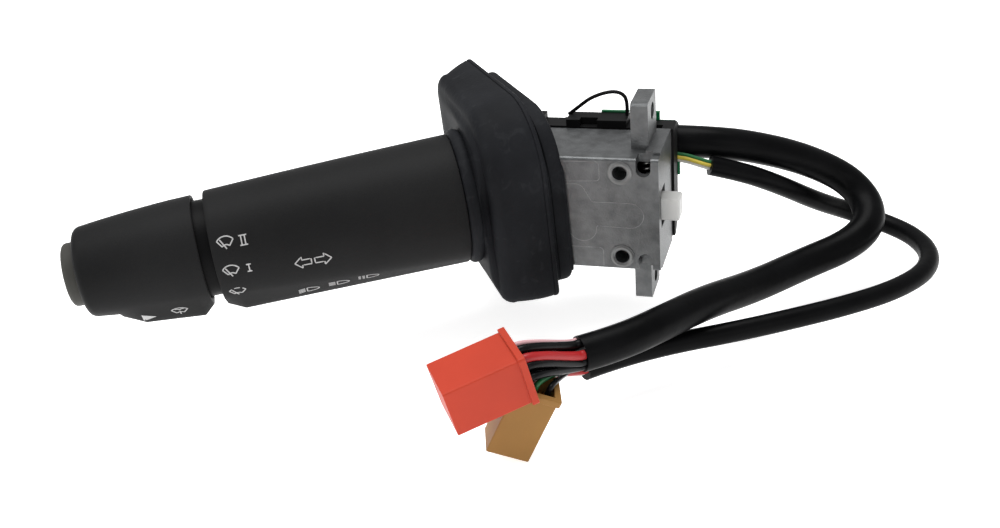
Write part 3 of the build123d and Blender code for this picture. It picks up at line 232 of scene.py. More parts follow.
sleeve_finish = coat("sleeve_vinyl", (0.0026, 0.0027, 0.003), 0.36, grain=170, bump=0.4, vary=0.3,
                     patch=70, shine=0.05)
large_sleeve = cord("sleeve_large", large_route, LARGE_SLEEVE, sleeve_finish)
small_sleeve = cord("sleeve_small", small_route, SMALL_SLEEVE, sleeve_finish)
for sleeve, node in ((large_sleeve, "harness_sleeve_large"), (small_sleeve, "harness_sleeve_small")):
    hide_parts(node)
    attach(sleeve, "housing")


# ---------------------------------------------------------------------------
# Plugs: two moulded nylon housings, orange and tan, with a thin lip round the
# open wire end, brass barrels inside, and the wires that the sleeves let go.
part = frame["nodes"]


def smooth_copy(name, node, width, finish, body, segments=3, angle=40):
    """A moulded or cast piece: the solid's own form, edges rounded off and flats kept flat."""
    bpy.ops.object.select_all(action="DESELECT")
    piece = part[node].copy()
    piece.data = part[node].data.copy()
    piece.name = name
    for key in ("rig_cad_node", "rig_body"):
        if key in piece:
            del piece[key]
    piece.parent = None
    bpy.context.scene.collection.objects.link(piece)
    bpy.context.view_layer.objects.active = piece
    piece.select_set(True)
    bpy.ops.object.mode_set(mode="EDIT")
    bpy.ops.mesh.select_all(action="SELECT")
    bpy.ops.mesh.remove_doubles(threshold=0.00001)
    bpy.ops.mesh.dissolve_limited(angle_limit=radians(1.5))
    bpy.ops.object.mode_set(mode="OBJECT")
    if width:
        bevel = piece.modifiers.new("rounding", "BEVEL")
        bevel.width = width / 1000
        bevel.segments = segments
        bevel.limit_method = "ANGLE"
        bevel.angle_limit = radians(angle)
        bpy.ops.object.modifier_apply(modifier=bevel.name)
    bpy.ops.object.shade_smooth_by_angle(angle=radians(30))
    flat_faces = piece.modifiers.new("flat_faces", "WEIGHTED_NORMAL")
    flat_faces.weight = 100
    flat_faces.keep_sharp = True
    bpy.ops.object.modifier_apply(modifier=flat_faces.name)
    piece.data.materials.clear()
    piece.data.materials.append(finish)
    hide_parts(node)
    if body:
        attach(piece, body)
    return piece


orange_finish = coat("nylon_orange", (0.46, 0.046, 0.022), 0.45, grain=1500, bump=0.06, vary=0.06,
                     shine=0.16)
tan_finish = coat("nylon_tan", (0.275, 0.142, 0.040), 0.48, grain=1500, bump=0.06, vary=0.08, shine=0.14)
brass_finish = coat("brass_strip", (0.78, 0.56, 0.24), 0.3, metal=1.0, vary=0.1)
orange_plug = smooth_copy("plug_orange", "orange_connector", 0.25, orange_finish, "housing")
tan_plug = smooth_copy("plug_tan", "tan_connector", 0.3, tan_finish, "housing")

# the tan plug leans against the orange one with its open end up; its solid lies flat
FLAT_AT = Vector((-0.0264, -0.105, -0.0349))
FLAT_AXIS = Vector((0.14, 0.99, 0.0)).normalized()
FLAT_SIDE = Vector((0, 0, 1)).cross(FLAT_AXIS)
TAN_AXIS = Vector((0.4305, 0.070, 0.8998)).normalized()
TAN_SIDE = -Vector((0.847, 0.321, -0.430)).normalized()
TAN_UP = TAN_AXIS.cross(TAN_SIDE).normalized()
TAN_AT = Vector((-0.0282, -0.1050, -0.0352))
flat = Matrix((FLAT_AXIS, FLAT_SIDE, Vector((0, 0, 1)))).transposed().to_4x4()
leaning = Matrix((TAN_AXIS, TAN_UP.cross(TAN_AXIS), TAN_UP)).transposed().to_4x4()
lean = Matrix.Translation(TAN_AT) @ leaning @ flat.inverted() @ Matrix.Translation(-FLAT_AT)
tan_plug.data.transform(lean)
tan_barrels = smooth_copy("tan_barrels", "tan_terminals", 0, brass_finish, "housing")
tan_barrels.data.transform(lean)


def assign(nodes, finish):
    """Give these carried-over pieces a finish."""
    for node in nodes:
        part[node].data.materials.clear()
        part[node].data.materials.append(finish)


assign(("orange_terminals", "contact_strips", "indicator_contact_bridge",
        "wiper_contacts", "rotor_contact_bridge", "horn_contact_ring"), brass_finish)

wire_black = coat("wire_black", (0.004, 0.004, 0.0045), 0.28, vary=0.1, shine=0.12)
wire_red = coat("wire_red", (0.36, 0.012, 0.014), 0.38, vary=0.08, shine=0.3)
wire_pink = coat("wire_pink", (0.62, 0.36, 0.38), 0.42, vary=0.05)
wire_white = coat("wire_white", (0.6, 0.59, 0.55), 0.42, vary=0.05)
wire_yellow = coat("wire_yellow", (0.55, 0.43, 0.05), 0.4, vary=0.06)
wire_green = coat("wire_green", (0.01, 0.12, 0.035), 0.4, vary=0.1)

ORANGE_LENGTH = 28.8
TAN_LENGTH = 28.0
ORANGE_AXIS = Vector((0.807, 0.552, 0.210))
ORANGE_SIDE = Vector((-0.565, 0.825, 0.0))
ORANGE_UP = Vector((-0.174, -0.119, 0.978))
ORANGE_AT = Vector((-0.0383, -0.1124, -0.018))
STRAIGHT = 0.003
BEFORE_MOUTH = 0.0035
INTO_MOUTH = 0.002
INTO_CELL = 0.0048


def wire_run(end, before, spread, plug, axis, side, up, length, cell):
    """Points of a wire from a place in the sleeve's end to a cell in a plug."""
    heading = (Vector(end) - Vector(before)).normalized()
    across = heading.cross(Vector((0, 0, 1))).normalized()
    rise = across.cross(heading)
    start = Vector(end) + across * spread[0] / 1000 + rise * spread[1] / 1000
    mouth = plug + axis * length / 2000 + side * cell[0] / 1000 + up * cell[1] / 1000
    return [start - heading * STRAIGHT, start, start + heading * STRAIGHT, mouth + axis * BEFORE_MOUTH,
            mouth - axis * INTO_MOUTH, mouth - axis * INTO_CELL]


# each wire: name, thickness, finish, place in the sleeve's end, cell in the plug
orange_wires = (
    ("red", 0.0034, wire_red, (-3.6, 1.8), (-3.0, 3.6)),
    ("a", 0.0032, wire_black, (0.0, 4.2), (1.2, 4.6)),
    ("b", 0.0028, wire_black, (4.2, 0.6), (6.2, 0.6)),
    ("pink", 0.002, wire_pink, (2.8, 4.0), (4.4, 5.0)),
    ("c", 0.0028, wire_black, (-4.2, -0.6), (-4.4, 1.4)),
    ("d", 0.0028, wire_black, (-1.2, -0.6), (-1.2, 0.6)),
    ("e", 0.0028, wire_black, (-3.0, -3.2), (-5.4, -2.6)),
    ("f", 0.0028, wire_black, (0.6, -3.8), (-1.8, -3.6)),
    ("g", 0.0028, wire_black, (3.2, -2.8), (2.2, -4.0)),
)
for label, thick, finish, spread, cell in orange_wires:
    run = wire_run(large_route[-1], large_route[-2], spread, ORANGE_AT, ORANGE_AXIS, ORANGE_SIDE,
                   ORANGE_UP, ORANGE_LENGTH, cell)
    wire = cord("orange_wire_" + label, run, thick, finish)
    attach(wire, "housing")
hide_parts("orange_wires")
tan_wires = (
    ("red", 0.0019, wire_red, (-1.9, 0.6), (4.2, 2.0)),
    ("white", 0.0019, wire_white, (0.3, -1.2), (0.0, -2.0)),
    ("black", 0.0019, wire_black, (2.0, 0.8), (-4.2, 2.0)),
    ("green", 0.0019, wire_green, (0.4, 1.9), (0.6, 2.2)),
)
for label, thick, finish, spread, cell in tan_wires:
    run = wire_run(small_route[-1], small_route[-2], spread, TAN_AT, TAN_AXIS, TAN_SIDE,
                   TAN_UP, TAN_LENGTH, cell)
    wire = cord("tan_wire_" + label, run, thick, finish)
    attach(wire, "housing")
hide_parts("tan_wires")

length_of(large_route)
length_of(small_route)


# ---------------------------------------------------------------------------
# Lead wires and jumper: six insulated wires that cross, without a sleeve, from
# the rear cover to the small sleeve, and one black wire over the carrier's top.
LEAD_WIRE = 0.00145
JUMPER_WIRE = 0.0015
lead_route = (
    (0.002, 0.0212, 0.0075), (0.008, 0.0209, 0.0074), (0.0135, 0.0206, 0.0060), (0.019, 0.0204, 0.0044),
)
# each wire: name, finish, place in the bundle
lead_wires = (
    ("green", wire_green, (0.0, 1.4)), ("yellow", wire_yellow, (-1.2, 0.4)),
    ("white", wire_white, (-0.9, -1.1)), ("red", wire_red, (0.2, -0.3)),
    ("black", wire_black, (1.1, -1.2)), ("dark", wire_black, (1.4, 0.5)),
)
INTO_SLEEVE = Vector((0.004, 0.0014, -0.0013))
for label, finish, (side, height) in lead_wires:
    shift = Vector((0, side / 1000, height / 1000))
    run = [Vector(p) + shift for p in lead_route]
    run.append(Vector(small_route[0]) + shift * 0.9 + INTO_SLEEVE)
    wire = cord("lead_wire_" + label, run, LEAD_WIRE, finish)
    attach(wire, "housing")
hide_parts("harness_lead")

jumper_route = (
    (-0.0368, 0.0165, 0.0262), (-0.0330, 0.0165, 0.0291), (-0.0275, 0.0165, 0.0335),
    (-0.0200, 0.0165, 0.0362), (-0.0150, 0.0165, 0.0358), (-0.0127, 0.0165, 0.0325),
    (-0.0131, 0.0165, 0.0262),
)
jumper = cord("jumper", jumper_route, JUMPER_WIRE, wire_black)
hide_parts("jumper_wire")
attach(jumper, "housing")


# ---------------------------------------------------------------------------
# Housing: a zinc pressure casting with two drilled ears, tapped bosses and
# notches, left as cast. The steel pins, springs and tube inside are plated.
def casting(name, colour, rough):
    """Bare cast metal: mottled tone, fine sparkle and soft dents."""
    return coat(name, colour, rough, grain=1400, bump=0.4, vary=0.2, metal=0.8, patch=230, scuff=0.10)


cast_finish = casting("zinc_casting", (0.118, 0.122, 0.124), 0.42)
housing = smooth_copy("cast_housing", "switch_housing", 0.35, cast_finish, "housing", segments=2, angle=35)
steel_finish = coat("plated_steel", (0.62, 0.62, 0.6), 0.28, metal=1.0, vary=0.08)
yoke_finish = casting("yoke_casting", (0.14, 0.14, 0.15), 0.5)
assign(("cover_screws", "boot_frame_screws", "indicator_detent_spring", "cancel_finger_pin",
        "finger_centring_springs", "swing_pins", "lever_pin", "flash_return_spring", "lever_stem",
        "wiper_detent_spring", "rotor_shaft", "shaft_clip", "knob_screw",
        "horn_return_spring"), steel_finish)
assign(("swing_yoke",), yoke_finish)


# ---------------------------------------------------------------------------
# Carrier, board and cover: black glass-filled nylon mouldings that sandwich a
# green circuit board on the housing's open back.
moulding = coat("filled_nylon", (0.006, 0.006, 0.0062), 0.5, grain=700, bump=0.15, vary=0.2, shine=0.08)
board_finish = coat("solder_resist", (0.0, 0.11, 0.035), 0.3, grain=300, bump=0.05, vary=0.12)
smooth_copy("carrier_moulding", "rear_carrier", 0.3, moulding, "housing", segments=2)
smooth_copy("cover_moulding", "rear_cover", 0.4, moulding, "housing", segments=2)
assign(("boot_frame", "grip_centring_rings", "wiper_contact_plate", "knob_core"), moulding)
assign(("circuit_board",), board_finish)


# ---------------------------------------------------------------------------
# Cancelling finger: white acetal, rounded at its tip. It stands out of the
# casting's end on a pin and is centred by two small coils.
acetal = coat("acetal_white", (0.56, 0.56, 0.545), 0.38, grain=900, bump=0.04, vary=0.03)
finger = smooth_copy("cancel_finger_piece", "cancel_finger", 0.25, acetal, "finger")


# ---------------------------------------------------------------------------
# Handle: a hollow ABS moulding, round with a flat-bottomed keel, finely spark
# textured. A grid is wrapped to its form, station by station.
joint = {j["name"]: j for j in frame["joints"]}

# The lever's own directions: outward along the handle, towards the driver, and
# up, from the hinge that both of its movements share.
pivot = Vector(joint["indicator_swing"]["pos_m"])
outward = Vector(joint["wiper_turn"]["axis"])
upward = Vector(joint["dip_flash"]["axis"])
driverward = upward.cross(outward)


def on_lever(along, side, height):
    """A place in millimetres along, beside and above the lever axis."""
    return pivot + (outward * along + driverward * side + upward * height) / 1000


def wrapped(name, stations, around, shape, finish, place):
    """A grid rolled about an axis; shape(station, angle) gives along, side, height."""
    bpy.ops.object.select_all(action="DESELECT")
    bpy.ops.mesh.primitive_grid_add(x_subdivisions=len(stations) - 1, y_subdivisions=around, size=1)
    piece = bpy.context.object
    piece.name = name
    for vertex in piece.data.vertices:
        row = round((vertex.co.x + 0.5) * (len(stations) - 1))
        turn = 2 * pi * (round((vertex.co.y + 0.5) * around) % around) / around
        vertex.co = place(*shape(stations[row], turn))
    bpy.ops.object.mode_set(mode="EDIT")
    bpy.ops.mesh.select_all(action="SELECT")
    bpy.ops.mesh.remove_doubles(threshold=0.000001)
    bpy.ops.mesh.normals_make_consistent(inside=False)
    bpy.ops.object.mode_set(mode="OBJECT")
    bpy.ops.object.shade_smooth_by_angle(angle=radians(40))
    piece.data.materials.append(finish)
    return piece


GRIP_START = 45.4
GRIP_END = 140.6
GRIP_ROOT_R = 25.2
GRIP_TIP_R = 21.6
GRIP_BULGE = 1.2
KEEL_DEPTH = 25.5
KEEL_HALF = 8.0
RAMP_START = 134.0


def keeled(radius, depth, turn, half, soft=26):
    """Radius of a round section with a flat-bottomed keel, whose flanks touch the round."""
    down = -sin(turn)
    if depth <= radius or down <= 0:
        return radius
    leave = atan2(depth, half) - acos(radius / hypot(depth, half))
    below = atan2(down, abs(cos(turn)))
    if below <= leave:
        return radius
    flank = radius / cos(below - leave)
    flat = depth / down
    return max(radius, (flank ** -soft + flat ** -soft) ** (-1 / soft))


def grip_radius(along):
    """A straight taper with a slight barrel."""
    share = (along - GRIP_START) / (GRIP_END - GRIP_START)
    return GRIP_ROOT_R - (GRIP_ROOT_R - GRIP_TIP_R) * share + GRIP_BULGE * share * (1 - share)


def ramp_depth(along):
    """Depth of the keel where it slopes up to the handle's free end."""
    return KEEL_DEPTH - (along - RAMP_START) * (KEEL_DEPTH - GRIP_TIP_R) / (GRIP_END - RAMP_START)


grip_finish = coat("grip_abs", (0.0135, 0.0136, 0.0139), 0.5, grain=2600, bump=0.2, vary=0.14,
                   patch=25, shine=0.05)
# each station: along the axis, outside radius, keel depth
grip_stations = [(GRIP_START + 2.6, 20.0, 0), (GRIP_START + 0.2, 21.0, 0), (GRIP_START, 21.6, 0),
                 (GRIP_START, 24.5, 24.8), (GRIP_START + 0.15, 24.9, 25.2), (GRIP_START + 0.6, 25.15, 25.45)]
grip_stations += [(s, grip_radius(s), KEEL_DEPTH) for s in (50, 60, 70, 80, 90, 100, 110, 120, 128, 133.7)]
grip_stations += [(s, grip_radius(s), ramp_depth(s)) for s in (134.2, 136.4, 138.6, 140.1)]
grip_stations += [(GRIP_END - 0.15, 21.4, 0), (GRIP_END, 21.1, 0), (GRIP_END, 19.7, 0),
                  (GRIP_END - 0.4, 19.3, 0), (GRIP_END - 9, 19.2, 0)]


def grip_shape(station, turn):
    """A place on the handle: a round section, with a keel where the station is deep."""
    along, radius, depth = station
    reach = keeled(radius, depth, turn, half=KEEL_HALF)
    return along, reach * cos(turn), reach * sin(turn)


grip = wrapped("grip", grip_stations, 192, grip_shape, grip_finish, on_lever)
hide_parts("grip_shell")
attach(grip, "lever")


# ---------------------------------------------------------------------------
# Wiper rotor: the ring that shows in the gap between handle and knob, turned by
# the knob. Black acetal.
rotor_finish = coat("rotor_acetal", (0.0045, 0.0045, 0.0048), 0.45, grain=1200, bump=0.08, vary=0.1,
                    shine=0.06)
assign(("wiper_rotor",), rotor_finish)


# ---------------------------------------------------------------------------
# Washer knob: the same textured ABS as the handle, tapering to a rounded mouth
# round the button, with a short keel of its own.
KNOB_START = GRIP_END + 4.7
KNOB_LENGTH = 45.2
KNOB_END = KNOB_START + KNOB_LENGTH
KNOB_EDGE = 3.2
KNOB_ROOT_R = 21.0
KNOB_TIP_R = 17.0
KNOB_BULGE = 2.2
KNOB_KEEL_HALF = 7.5
KNOB_KEEL_DEPTH = 25.2
KNOB_KEEL_START = 4.1
KNOB_KEEL_FALL = 0.0995
KNOB_RAMP_START = 26.2
KNOB_RAMP_DEPTH = 23.0
KNOB_RAMP_LENGTH = 7.8


def knob_radius(along):
    """A taper that bulges slightly."""
    share = (along - KNOB_START) / KNOB_LENGTH
    return KNOB_ROOT_R - (KNOB_ROOT_R - KNOB_TIP_R) * share + KNOB_BULGE * share * (1 - share)


def knob_keel(step):
    """Depth of the knob's keel, a step from its root: a slight fall, then a ramp."""
    if step < KNOB_RAMP_START:
        return KNOB_KEEL_DEPTH - (step - KNOB_KEEL_START) * KNOB_KEEL_FALL
    ramp_top = knob_radius(KNOB_START + KNOB_RAMP_START + KNOB_RAMP_LENGTH)
    return KNOB_RAMP_DEPTH - (step - KNOB_RAMP_START) * (KNOB_RAMP_DEPTH - ramp_top) / KNOB_RAMP_LENGTH


# each station: along the axis, outside radius, keel depth
knob_stations = [(KNOB_START + 8, 19.1, 0), (KNOB_START + 0.5, 19.4, 0), (KNOB_START, 19.8, 0),
                 (KNOB_START, 20.6, 21.0), (KNOB_START + 0.3, 20.9, 21.4), (KNOB_START + 3.9, 20.75, 25.0),
                 (KNOB_START + 4.4, 20.72, 25.2)]
knob_stations += [(KNOB_START + d, knob_radius(KNOB_START + d), knob_keel(d))
                  for d in (8, 12, 16, 20, 24, 26, 26.5, 29, 31.5, 33.8)]
knob_stations += [(KNOB_START + d, knob_radius(KNOB_START + d), 0) for d in (34.5, 37, 39.5, 42.0)]
knob_stations += [(KNOB_END - KNOB_EDGE * (1 - sin(radians(a))),
                   knob_radius(KNOB_END - KNOB_EDGE) - KNOB_EDGE * (1 - cos(radians(a))), 0)
                  for a in range(10, 91, 16)]
knob_stations += [(KNOB_END, 12.9, 0), (KNOB_END - 0.2, 12.5, 0), (KNOB_END - 0.8, 12.4, 0),
                  (KNOB_END - 3.0, 12.4, 0)]


def knob_shape(station, turn):
    """A place on the knob, whose keel is a little narrower than the handle's."""
    along, radius, depth = station
    reach = keeled(radius, depth, turn, half=KNOB_KEEL_HALF)
    return along, reach * cos(turn), reach * sin(turn)


knob = wrapped("knob", knob_stations, 176, knob_shape, grip_finish, on_lever)
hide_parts("knob_shell")
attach(knob, "knob")


# ---------------------------------------------------------------------------
# Markings: pale ink printed on the handle and knob, generic signs for wiper,
# indicator, lamps and washer. Thin films that follow the moulding's surface.
ink = coat("marking_ink", (0.42, 0.42, 0.42), 0.55, grain=2600, bump=0.1, vary=0.1, shine=0.15)
INK_LIFT = 0.03
INK_THICK = 0.05
LINE = 0.46
SKIN_R = 22


def skin(along, turn):
    """Outside radius of the handle or the knob."""
    if along < GRIP_END:
        depth = KEEL_DEPTH if along < RAMP_START else ramp_depth(along)
        return keeled(grip_radius(along), depth, turn, KEEL_HALF)
    return keeled(knob_radius(along), knob_keel(along - KNOB_START), turn, KNOB_KEEL_HALF)


def on_skin(along, angle):
    """Lays a flat sign on the handle: x runs towards the housing and y up round the skin."""
    def lay(x, y, lift):
        """A place lifted a little off the skin."""
        turn = radians(angle) + y / SKIN_R
        reach = skin(along - x, turn) + lift
        return on_lever(along - x, reach * cos(turn), reach * sin(turn))
    return lay


def traced(name, strokes, lay, finish, body, lift=INK_LIFT, thick=INK_THICK):
    """Joins strokes of a given width into one thin piece that lies on a surface."""
    films = []
    for points, wide, narrow in strokes:
        bpy.ops.object.select_all(action="DESELECT")
        bpy.ops.mesh.primitive_grid_add(x_subdivisions=4 * (len(points) - 1), y_subdivisions=4, size=1)
        film = bpy.context.object
        for vertex in film.data.vertices:
            share = (vertex.co.x + 0.5) * (len(points) - 1)
            span = min(int(share + 0.001), len(points) - 2)
            start, stop = Vector(points[span]), Vector(points[span + 1])
            heading = (stop - start).normalized()
            width = wide + (narrow - wide) * (vertex.co.x + 0.5)
            beside = Vector((-heading.y, heading.x)) * width * vertex.co.y
            spot = start.lerp(stop, share - span) + beside
            vertex.co = lay(spot.x, spot.y, lift)
        films.append(film)
    for film in films:
        film.select_set(True)
    bpy.context.view_layer.objects.active = films[0]
    if len(films) > 1:
        bpy.ops.object.join()
    sign = films[0]
    sign.name = name
    bpy.ops.object.mode_set(mode="EDIT")
    bpy.ops.mesh.select_all(action="SELECT")
    bpy.ops.mesh.normals_make_consistent(inside=False)
    bpy.ops.object.mode_set(mode="OBJECT")
    layer = sign.modifiers.new("layer", "SOLIDIFY")
    layer.thickness = thick / 1000
    layer.offset = 0
    bpy.ops.object.modifier_apply(modifier=layer.name)
    sign.data.materials.append(finish)
    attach(sign, body)


def lines(*runs):
    """Strokes of the signs' own line width."""
    return [(run, LINE, LINE) for run in runs]


def arc(x, y, radius, first, last):
    """Nine points on an arc, from one angle to another in degrees."""
    turns = [radians(first + (last - first) * k / 8) for k in range(9)]
    return [(x + radius * cos(turn), y + radius * sin(turn)) for turn in turns]


fan_sides = ([(-3.35, 0.92), (-1.5, -1.6)], [(3.35, 0.92), (1.5, -1.6)], arc(0, -2.9, 2.0, 139, 41))
fan = lines(arc(0, -1.6, 4.2, 143, 37), *fan_sides)
broken_fan = lines(arc(0, -1.6, 4.2, 143, 121), arc(0, -1.6, 4.2, 106, 74), arc(0, -1.6, 4.2, 59, 37),
                   *fan_sides)
arm = lines([(-2.1, 1.5), (-0.45, -1.5), (0.15, -2.7)])
two = lines([(-0.75, -2), (-0.75, 2)], [(0.75, -2), (0.75, 2)], [(-1.6, 2), (1.6, 2)],
            [(-1.6, -2), (1.6, -2)])
one = lines([(0, -1.45), (0, 1.45)], [(-0.85, 1.45), (0.85, 1.45)], [(-0.85, -1.45), (0.85, -1.45)])
left_arrow = [(-3.1, 0), (-0.4, 2.4), (-0.4, 1.1), (3.1, 1.1), (3.1, -1.1), (-0.4, -1.1), (-0.4, -2.4),
              (-3.1, 0)]
right_arrow = [(-x, y) for x, y in left_arrow]
lamp = lines([(-0.8, 1.85)]
             + [(-0.8 + 4.6 * sin(radians(a)), 1.85 * cos(radians(a))) for a in range(0, 181, 15)]
             + [(-0.8, 1.85)])
rays = (1.5, 0.5, -0.5, -1.5)
dipped = lines(*[[(-1.6, y), (-4.1, y - 1.0)] for y in rays])
level = lines(*[[(-1.6, y), (-4.1, y)] for y in rays])
dashed = lines(*[[(x, y), (x - 0.95, y)] for y in rays for x in (-1.6, -3.15)])
spray = lines([(0, -2.7), (0, -0.4)], arc(-1.2, 0.4, 1.2, 0, 120), arc(1.2, 0.4, 1.2, 180, 60))
pointer = [([(-2.4, 0), (2.6, 0)], 4.2, 0.15)]


def sized(strokes, across, up):
    """The same sign at a share of its width and a share of its height."""
    return [([(x * across, y * up) for x, y in points], wide, narrow) for points, wide, narrow in strokes]


# each sign: name, strokes, place along the axis, degrees up round the skin, body
signs = (
    ("wiper_fast", sized(fan + arm, 0.9, 0.9), 134.9, 25, "lever"),
    ("two", sized(two, 0.9, 0.9), 128.4, 24, "lever"),
    ("wiper_slow", sized(fan + arm, 0.9, 0.9), 135.1, -4, "lever"),
    ("one", one, 128.5, -4, "lever"),
    ("wiper_interval", sized(broken_fan + arm, 0.9, 0.9), 134.8, -33, "lever"),
    ("turn_left", lines(left_arrow), 108.9, -9, "lever"),
    ("turn_right", lines(right_arrow), 101.4, -9, "lever"),
    ("dipped_beam", sized(lamp + dipped, 1, 0.85), 108.9, -56, "lever"),
    ("main_beam", sized(lamp + level, 1, 0.85), 97.2, -53, "lever"),
    ("flash", sized(lamp + dashed, 1, 0.85), 85.7, -50, "lever"),
    ("knob_mark", pointer, 169.7, -61, "knob"),
    ("washer", sized(fan + spray, 0.9, 0.9), 157.9, -56, "knob"),
)
for label, strokes, along, angle, body in signs:
    traced("sign_" + label, strokes, on_skin(along, angle), ink, body)


# ---------------------------------------------------------------------------
# Washer return spring: a steel coil between the rotor and the knob, which in the switch
# shortens as the knob is pushed in; here it is one fixed piece that stays as it is.
washer_spring = smooth_copy("washer_spring", "washer_return_spring", 0, steel_finish, "")
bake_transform(washer_spring)


# ---------------------------------------------------------------------------
# Horn button: a dark grey cap with a softened edge and a nearly flat face,
# guided in the knob's mouth. Moulded plastic, matt.
button_finish = coat("button_cap", (0.052, 0.051, 0.046), 0.55, grain=1800, bump=0.12, vary=0.1, shine=0.12)
BUTTON_TIP = KNOB_END + 5.3
button_stations = [(BUTTON_TIP - 10, 13.3), (BUTTON_TIP - 8.5, 13.3), (BUTTON_TIP - 8.4, 12.15),
                   (BUTTON_TIP - 2.2, 12.15), (BUTTON_TIP - 1.4, 12.0), (BUTTON_TIP - 0.8, 11.5),
                   (BUTTON_TIP - 0.45, 10.8), (BUTTON_TIP - 0.3, 10.0), (BUTTON_TIP - 0.15, 7.0),
                   (BUTTON_TIP - 0.05, 3.5), (BUTTON_TIP, 0.0)]


def round_shape(station, turn):
    """A turned form: each station is a place along the axis and a radius."""
    along, radius = station
    return along, radius * cos(turn), radius * sin(turn)


button = wrapped("button_cap", button_stations, 96, round_shape, button_finish, on_lever)
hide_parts("horn_button")
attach(button, "button")


# ---------------------------------------------------------------------------
# Front of the casting: a machined ring round each tapped boss, and the shallow
# lines that die inserts and ejector pins leave. Same zinc, brighter where cut.
machined = coat("machined_zinc", (0.17, 0.173, 0.172), 0.36, grain=2200, bump=0.2, vary=0.12, metal=0.9)
mould_line = coat("mould_line", (0.19, 0.195, 0.20), 0.38, grain=2200, bump=0.2, vary=0.3, metal=0.85,
                  patch=300)
CASTING_FACE = -20.0
TAPPED_X = -9.4
TAPPED_Z = 17.5
MOULD_LINE = 0.26
# each station: height over the face, radius
ring_stations = [(-6.0, 2.78), (0.1, 2.86), (0.5, 3.3), (0.55, 3.9), (0.5, 4.3), (0.27, 4.55),
                 (0.2, 4.75), (-0.2, 4.75), (-0.2, 3.2), (-6.0, 3.0), (-6.0, 2.78)]
for label, middle in (("upper", TAPPED_Z), ("lower", -TAPPED_Z)):
    def on_boss(height, side, up):
        """A place in millimetres proud of the casting's face, round this boss."""
        return Vector((TAPPED_X + side, CASTING_FACE - height, middle + up)) / 1000

    boss = wrapped("boss_ring_" + label, ring_stations, 64, round_shape, machined, on_boss)
    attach(boss, "housing")


def on_face(x, z, lift):
    """A place in millimetres on the casting's front face, and its height over it."""
    return Vector((x, CASTING_FACE - lift, z)) / 1000


insert_lines = (
    [(-33.0, 21.6), (-18.6, 21.9)] + arc(-18.6, 20.4, 1.5, 90, 0) + [(-17.1, 16.0)]
    + arc(-18.6, 15.5, 1.5, 0, -90) + [(-33.0, 13.4)],
    [(-30.0, 12.4)] + arc(-26.6, 8.6, 3.9, 85, 20) + [(-20.4, 5.2), (-6.0, 5.2)]
    + arc(-5.8, 0.0, 5.2, 90, -90) + [(-18.6, -4.8)] + arc(-24.6, -6.0, 5.6, 5, -150),
    [(-31.0, -14.2), (-18.2, -14.2)] + arc(-18.2, -15.6, 1.4, 90, 0) + [(-16.8, -22.0)],
)
traced("mould_lines", [(run, MOULD_LINE, MOULD_LINE) for run in insert_lines], on_face, mould_line,
       "housing", lift=0.02, thick=0.12)


# ---------------------------------------------------------------------------
# Rubber boot: one soft moulding with a lipped rim that grips the trim panel, a
# tapered hood, and a thick rolled collar round the handle's end.
rubber = coat("boot_rubber", (0.0125, 0.0132, 0.0152), 0.6, grain=700, bump=0.2, vary=0.3, patch=45,
              scuff=0.03, shine=0.05)
LIP_OUT = 0.020
BOOT_YAW = radians(36)
DROOP = radians(-2.3)
boot_out = Vector((-cos(BOOT_YAW), -sin(BOOT_YAW), 0))
boot_out = Vector((boot_out.x * cos(DROOP), boot_out.y, -boot_out.x * sin(DROOP)))
boot_side = upward.cross(boot_out)
boot_root = pivot + outward * LIP_OUT / outward.dot(boot_out)


def on_boot(along, side, height):
    """A place in millimetres from the boot's front lip, square to its rim."""
    return boot_root + (boot_out * along + boot_side * side + upward * height) / 1000


# outlines: back and front sides, bottom and top
RIM = (-53.0, 29.5, -38.0, 39.0)
THROAT = (-42.0, 26.5, -34.0, 26.8)
CREASE = (-51.0, 26.5, -39.2, 37.0)
REAR_LIP = (-49.0, 24.4, -36.6, 33.2)
# corner radii of each outline: back top, front top, front bottom, back bottom
CORNERS = {
    RIM: (4.0, 27.0, 4.0, 5.0), THROAT: (5.0, 20.0, 5.0, 5.0),
    CREASE: (10.0, 25.0, 7.0, 8.0), REAR_LIP: (6.0, 24.5, 8.4, 8.4),
}


def boxed(bounds, inset, turn):
    """Side and height of a rectangle with rounded corners, at an angle from its middle."""
    y0, y1, z0, z1 = bounds
    a, b = (y1 - y0) / 2 - inset, (z1 - z0) / 2 - inset
    c, s = abs(cos(turn)), abs(sin(turn))
    back_top, front_top, front_low, back_low = CORNERS[bounds]
    if sin(turn) > 0:
        corner = front_top if cos(turn) > 0 else back_top
    else:
        corner = front_low if cos(turn) > 0 else back_low
    corner = max(corner - inset, 0.5)
    reach = min(a / max(c, 1e-6), b / max(s, 1e-6))
    if reach * c > a - corner and reach * s > b - corner:
        along = c * (a - corner) + s * (b - corner)
        off = (a - corner) ** 2 + (b - corner) ** 2 - along ** 2
        reach = along + sqrt(max(corner ** 2 - off, 0))
    return (y0 + y1) / 2 + reach * cos(turn), (z0 + z1) / 2 + reach * sin(turn)


# each station: along the boot axis, outline, inset
rim_stations = [
    (-10.6, THROAT, 2.4), (-10.6, REAR_LIP, 2.4), (-10.4, REAR_LIP, 1.2), (-9.7, REAR_LIP, 0.4),
    (-8.6, REAR_LIP, 0.0), (-6.4, REAR_LIP, 0.0), (-4.6, REAR_LIP, 0.3), (-4.1, REAR_LIP, 1.0),
    (-4.0, THROAT, 0.0), (-3.9, THROAT, 0.4), (-2.2, THROAT, 0.4), (-2.1, THROAT, 0.0),
    (-2.0, RIM, 0.9), (-1.8, RIM, 0.4), (-1.3, RIM, 0.05), (-0.7, RIM, 0.0), (-0.2, RIM, 0.15),
    (0.0, RIM, 0.5), (0.0, THROAT, 2.4), (-5.0, THROAT, 2.4), (-10.6, THROAT, 2.4),
]


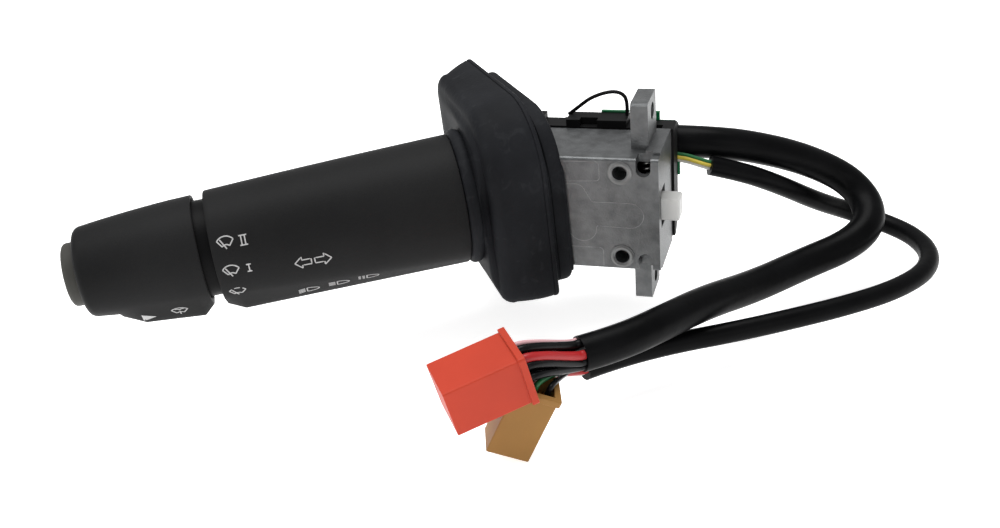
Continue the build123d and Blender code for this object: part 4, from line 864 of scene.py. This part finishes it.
def boot_shape(station, turn):
    """A place on the lips, on one of the outlines pulled in by the station's inset."""
    along, outline, inset = station
    side, height = boxed(outline, inset, turn)
    return along, side, height


rim = wrapped("boot_lips", rim_stations, 300, boot_shape, rubber, on_boot)
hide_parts("boot_rim")
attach(rim, "housing")

# hood: from the front lip to the rounded shoulder and in to the round collar;
# share runs from the rim's outline to the shoulder's, mouth from there to round
FACE_AT = 18.4
SHOULDER = 5.5
FACE_CROWN = 1.6
hood_stations = [(-0.1, 0.0, 0.0, 1.2), (0.05, 0.0, 0.0, 0.45), (0.5, 0.03, 0.0, 0.2)]
hood_stations += [((FACE_AT - SHOULDER) * k, 0.9 * k, 0.0, 0.2 - 0.5 * sin(pi * k))
                  for k in (0.2, 0.4, 0.6, 0.8, 1.0)]
hood_stations += [(FACE_AT - SHOULDER * (1 - sin(radians(a))), 0.9 + a / 900, 0.0,
                   SHOULDER * (1 - cos(radians(a)))) for a in (15, 30, 45, 60, 75, 90)]
hood_stations += [(FACE_AT + FACE_CROWN * sin(pi * m), 1.0, m, SHOULDER)
                  for m in (0.15, 0.3, 0.45, 0.6, 0.75, 0.88, 0.95)]
hood_stations += [(FACE_AT, 1.0, 1.0, SHOULDER), (FACE_AT, 1.0, 1.05, SHOULDER)]
MOUTH = 25.9
MOUTH_AT = 40.4
FACE_TILT = 0.0033


def hood_shape(station, turn):
    """A place on the hood, from the rim's outline through the shoulder's to the collar."""
    along, share, mouth, inset = station
    y0, z0 = boxed(RIM, inset, turn)
    y1, z1 = boxed(CREASE, inset, turn)
    side, height = y0 + (y1 - y0) * share, z0 + (z1 - z0) * share
    outer = on_boot(along * (1 + FACE_TILT * side), side, height)
    ring = on_lever(MOUTH_AT, MOUTH * cos(turn), MOUTH * sin(turn))
    return outer.lerp(ring, mouth)


def as_placed(*place):
    """The hood's shape already gives places in the part's frame."""
    return Vector(place)


hood = wrapped("boot_hood", hood_stations, 300, hood_shape, rubber, as_placed)
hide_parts("boot_skirt")
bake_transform(hood)

# folds: the thin convoluted wall between the hood's mouth and the collar
fold_stations = [(31.5, 24.6), (33.5, 24.0), (35.5, 22.6), (37.1, 18.8), (38.9, 20.8), (40.6, 18.4),
                 (42.2, 21.2)]
folds = wrapped("boot_folds", fold_stations, 96, round_shape, rubber, on_lever)
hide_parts("boot_bellows")
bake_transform(folds)

# collar: a rolled bead round the handle's end, closed to the lever's tube
collar_stations = [(40.0, 6.2), (40.0, 24.6), (40.5, 25.6), (41.3, 26.3), (42.3, 26.6), (43.4, 26.6),
                   (44.4, 26.2), (45.0, 25.6), (45.2, 24.9), (45.2, 6.2)]
collar = wrapped("boot_collar_ring", collar_stations, 144, round_shape, rubber, on_lever)
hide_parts("boot_collar")
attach(collar, "lever")
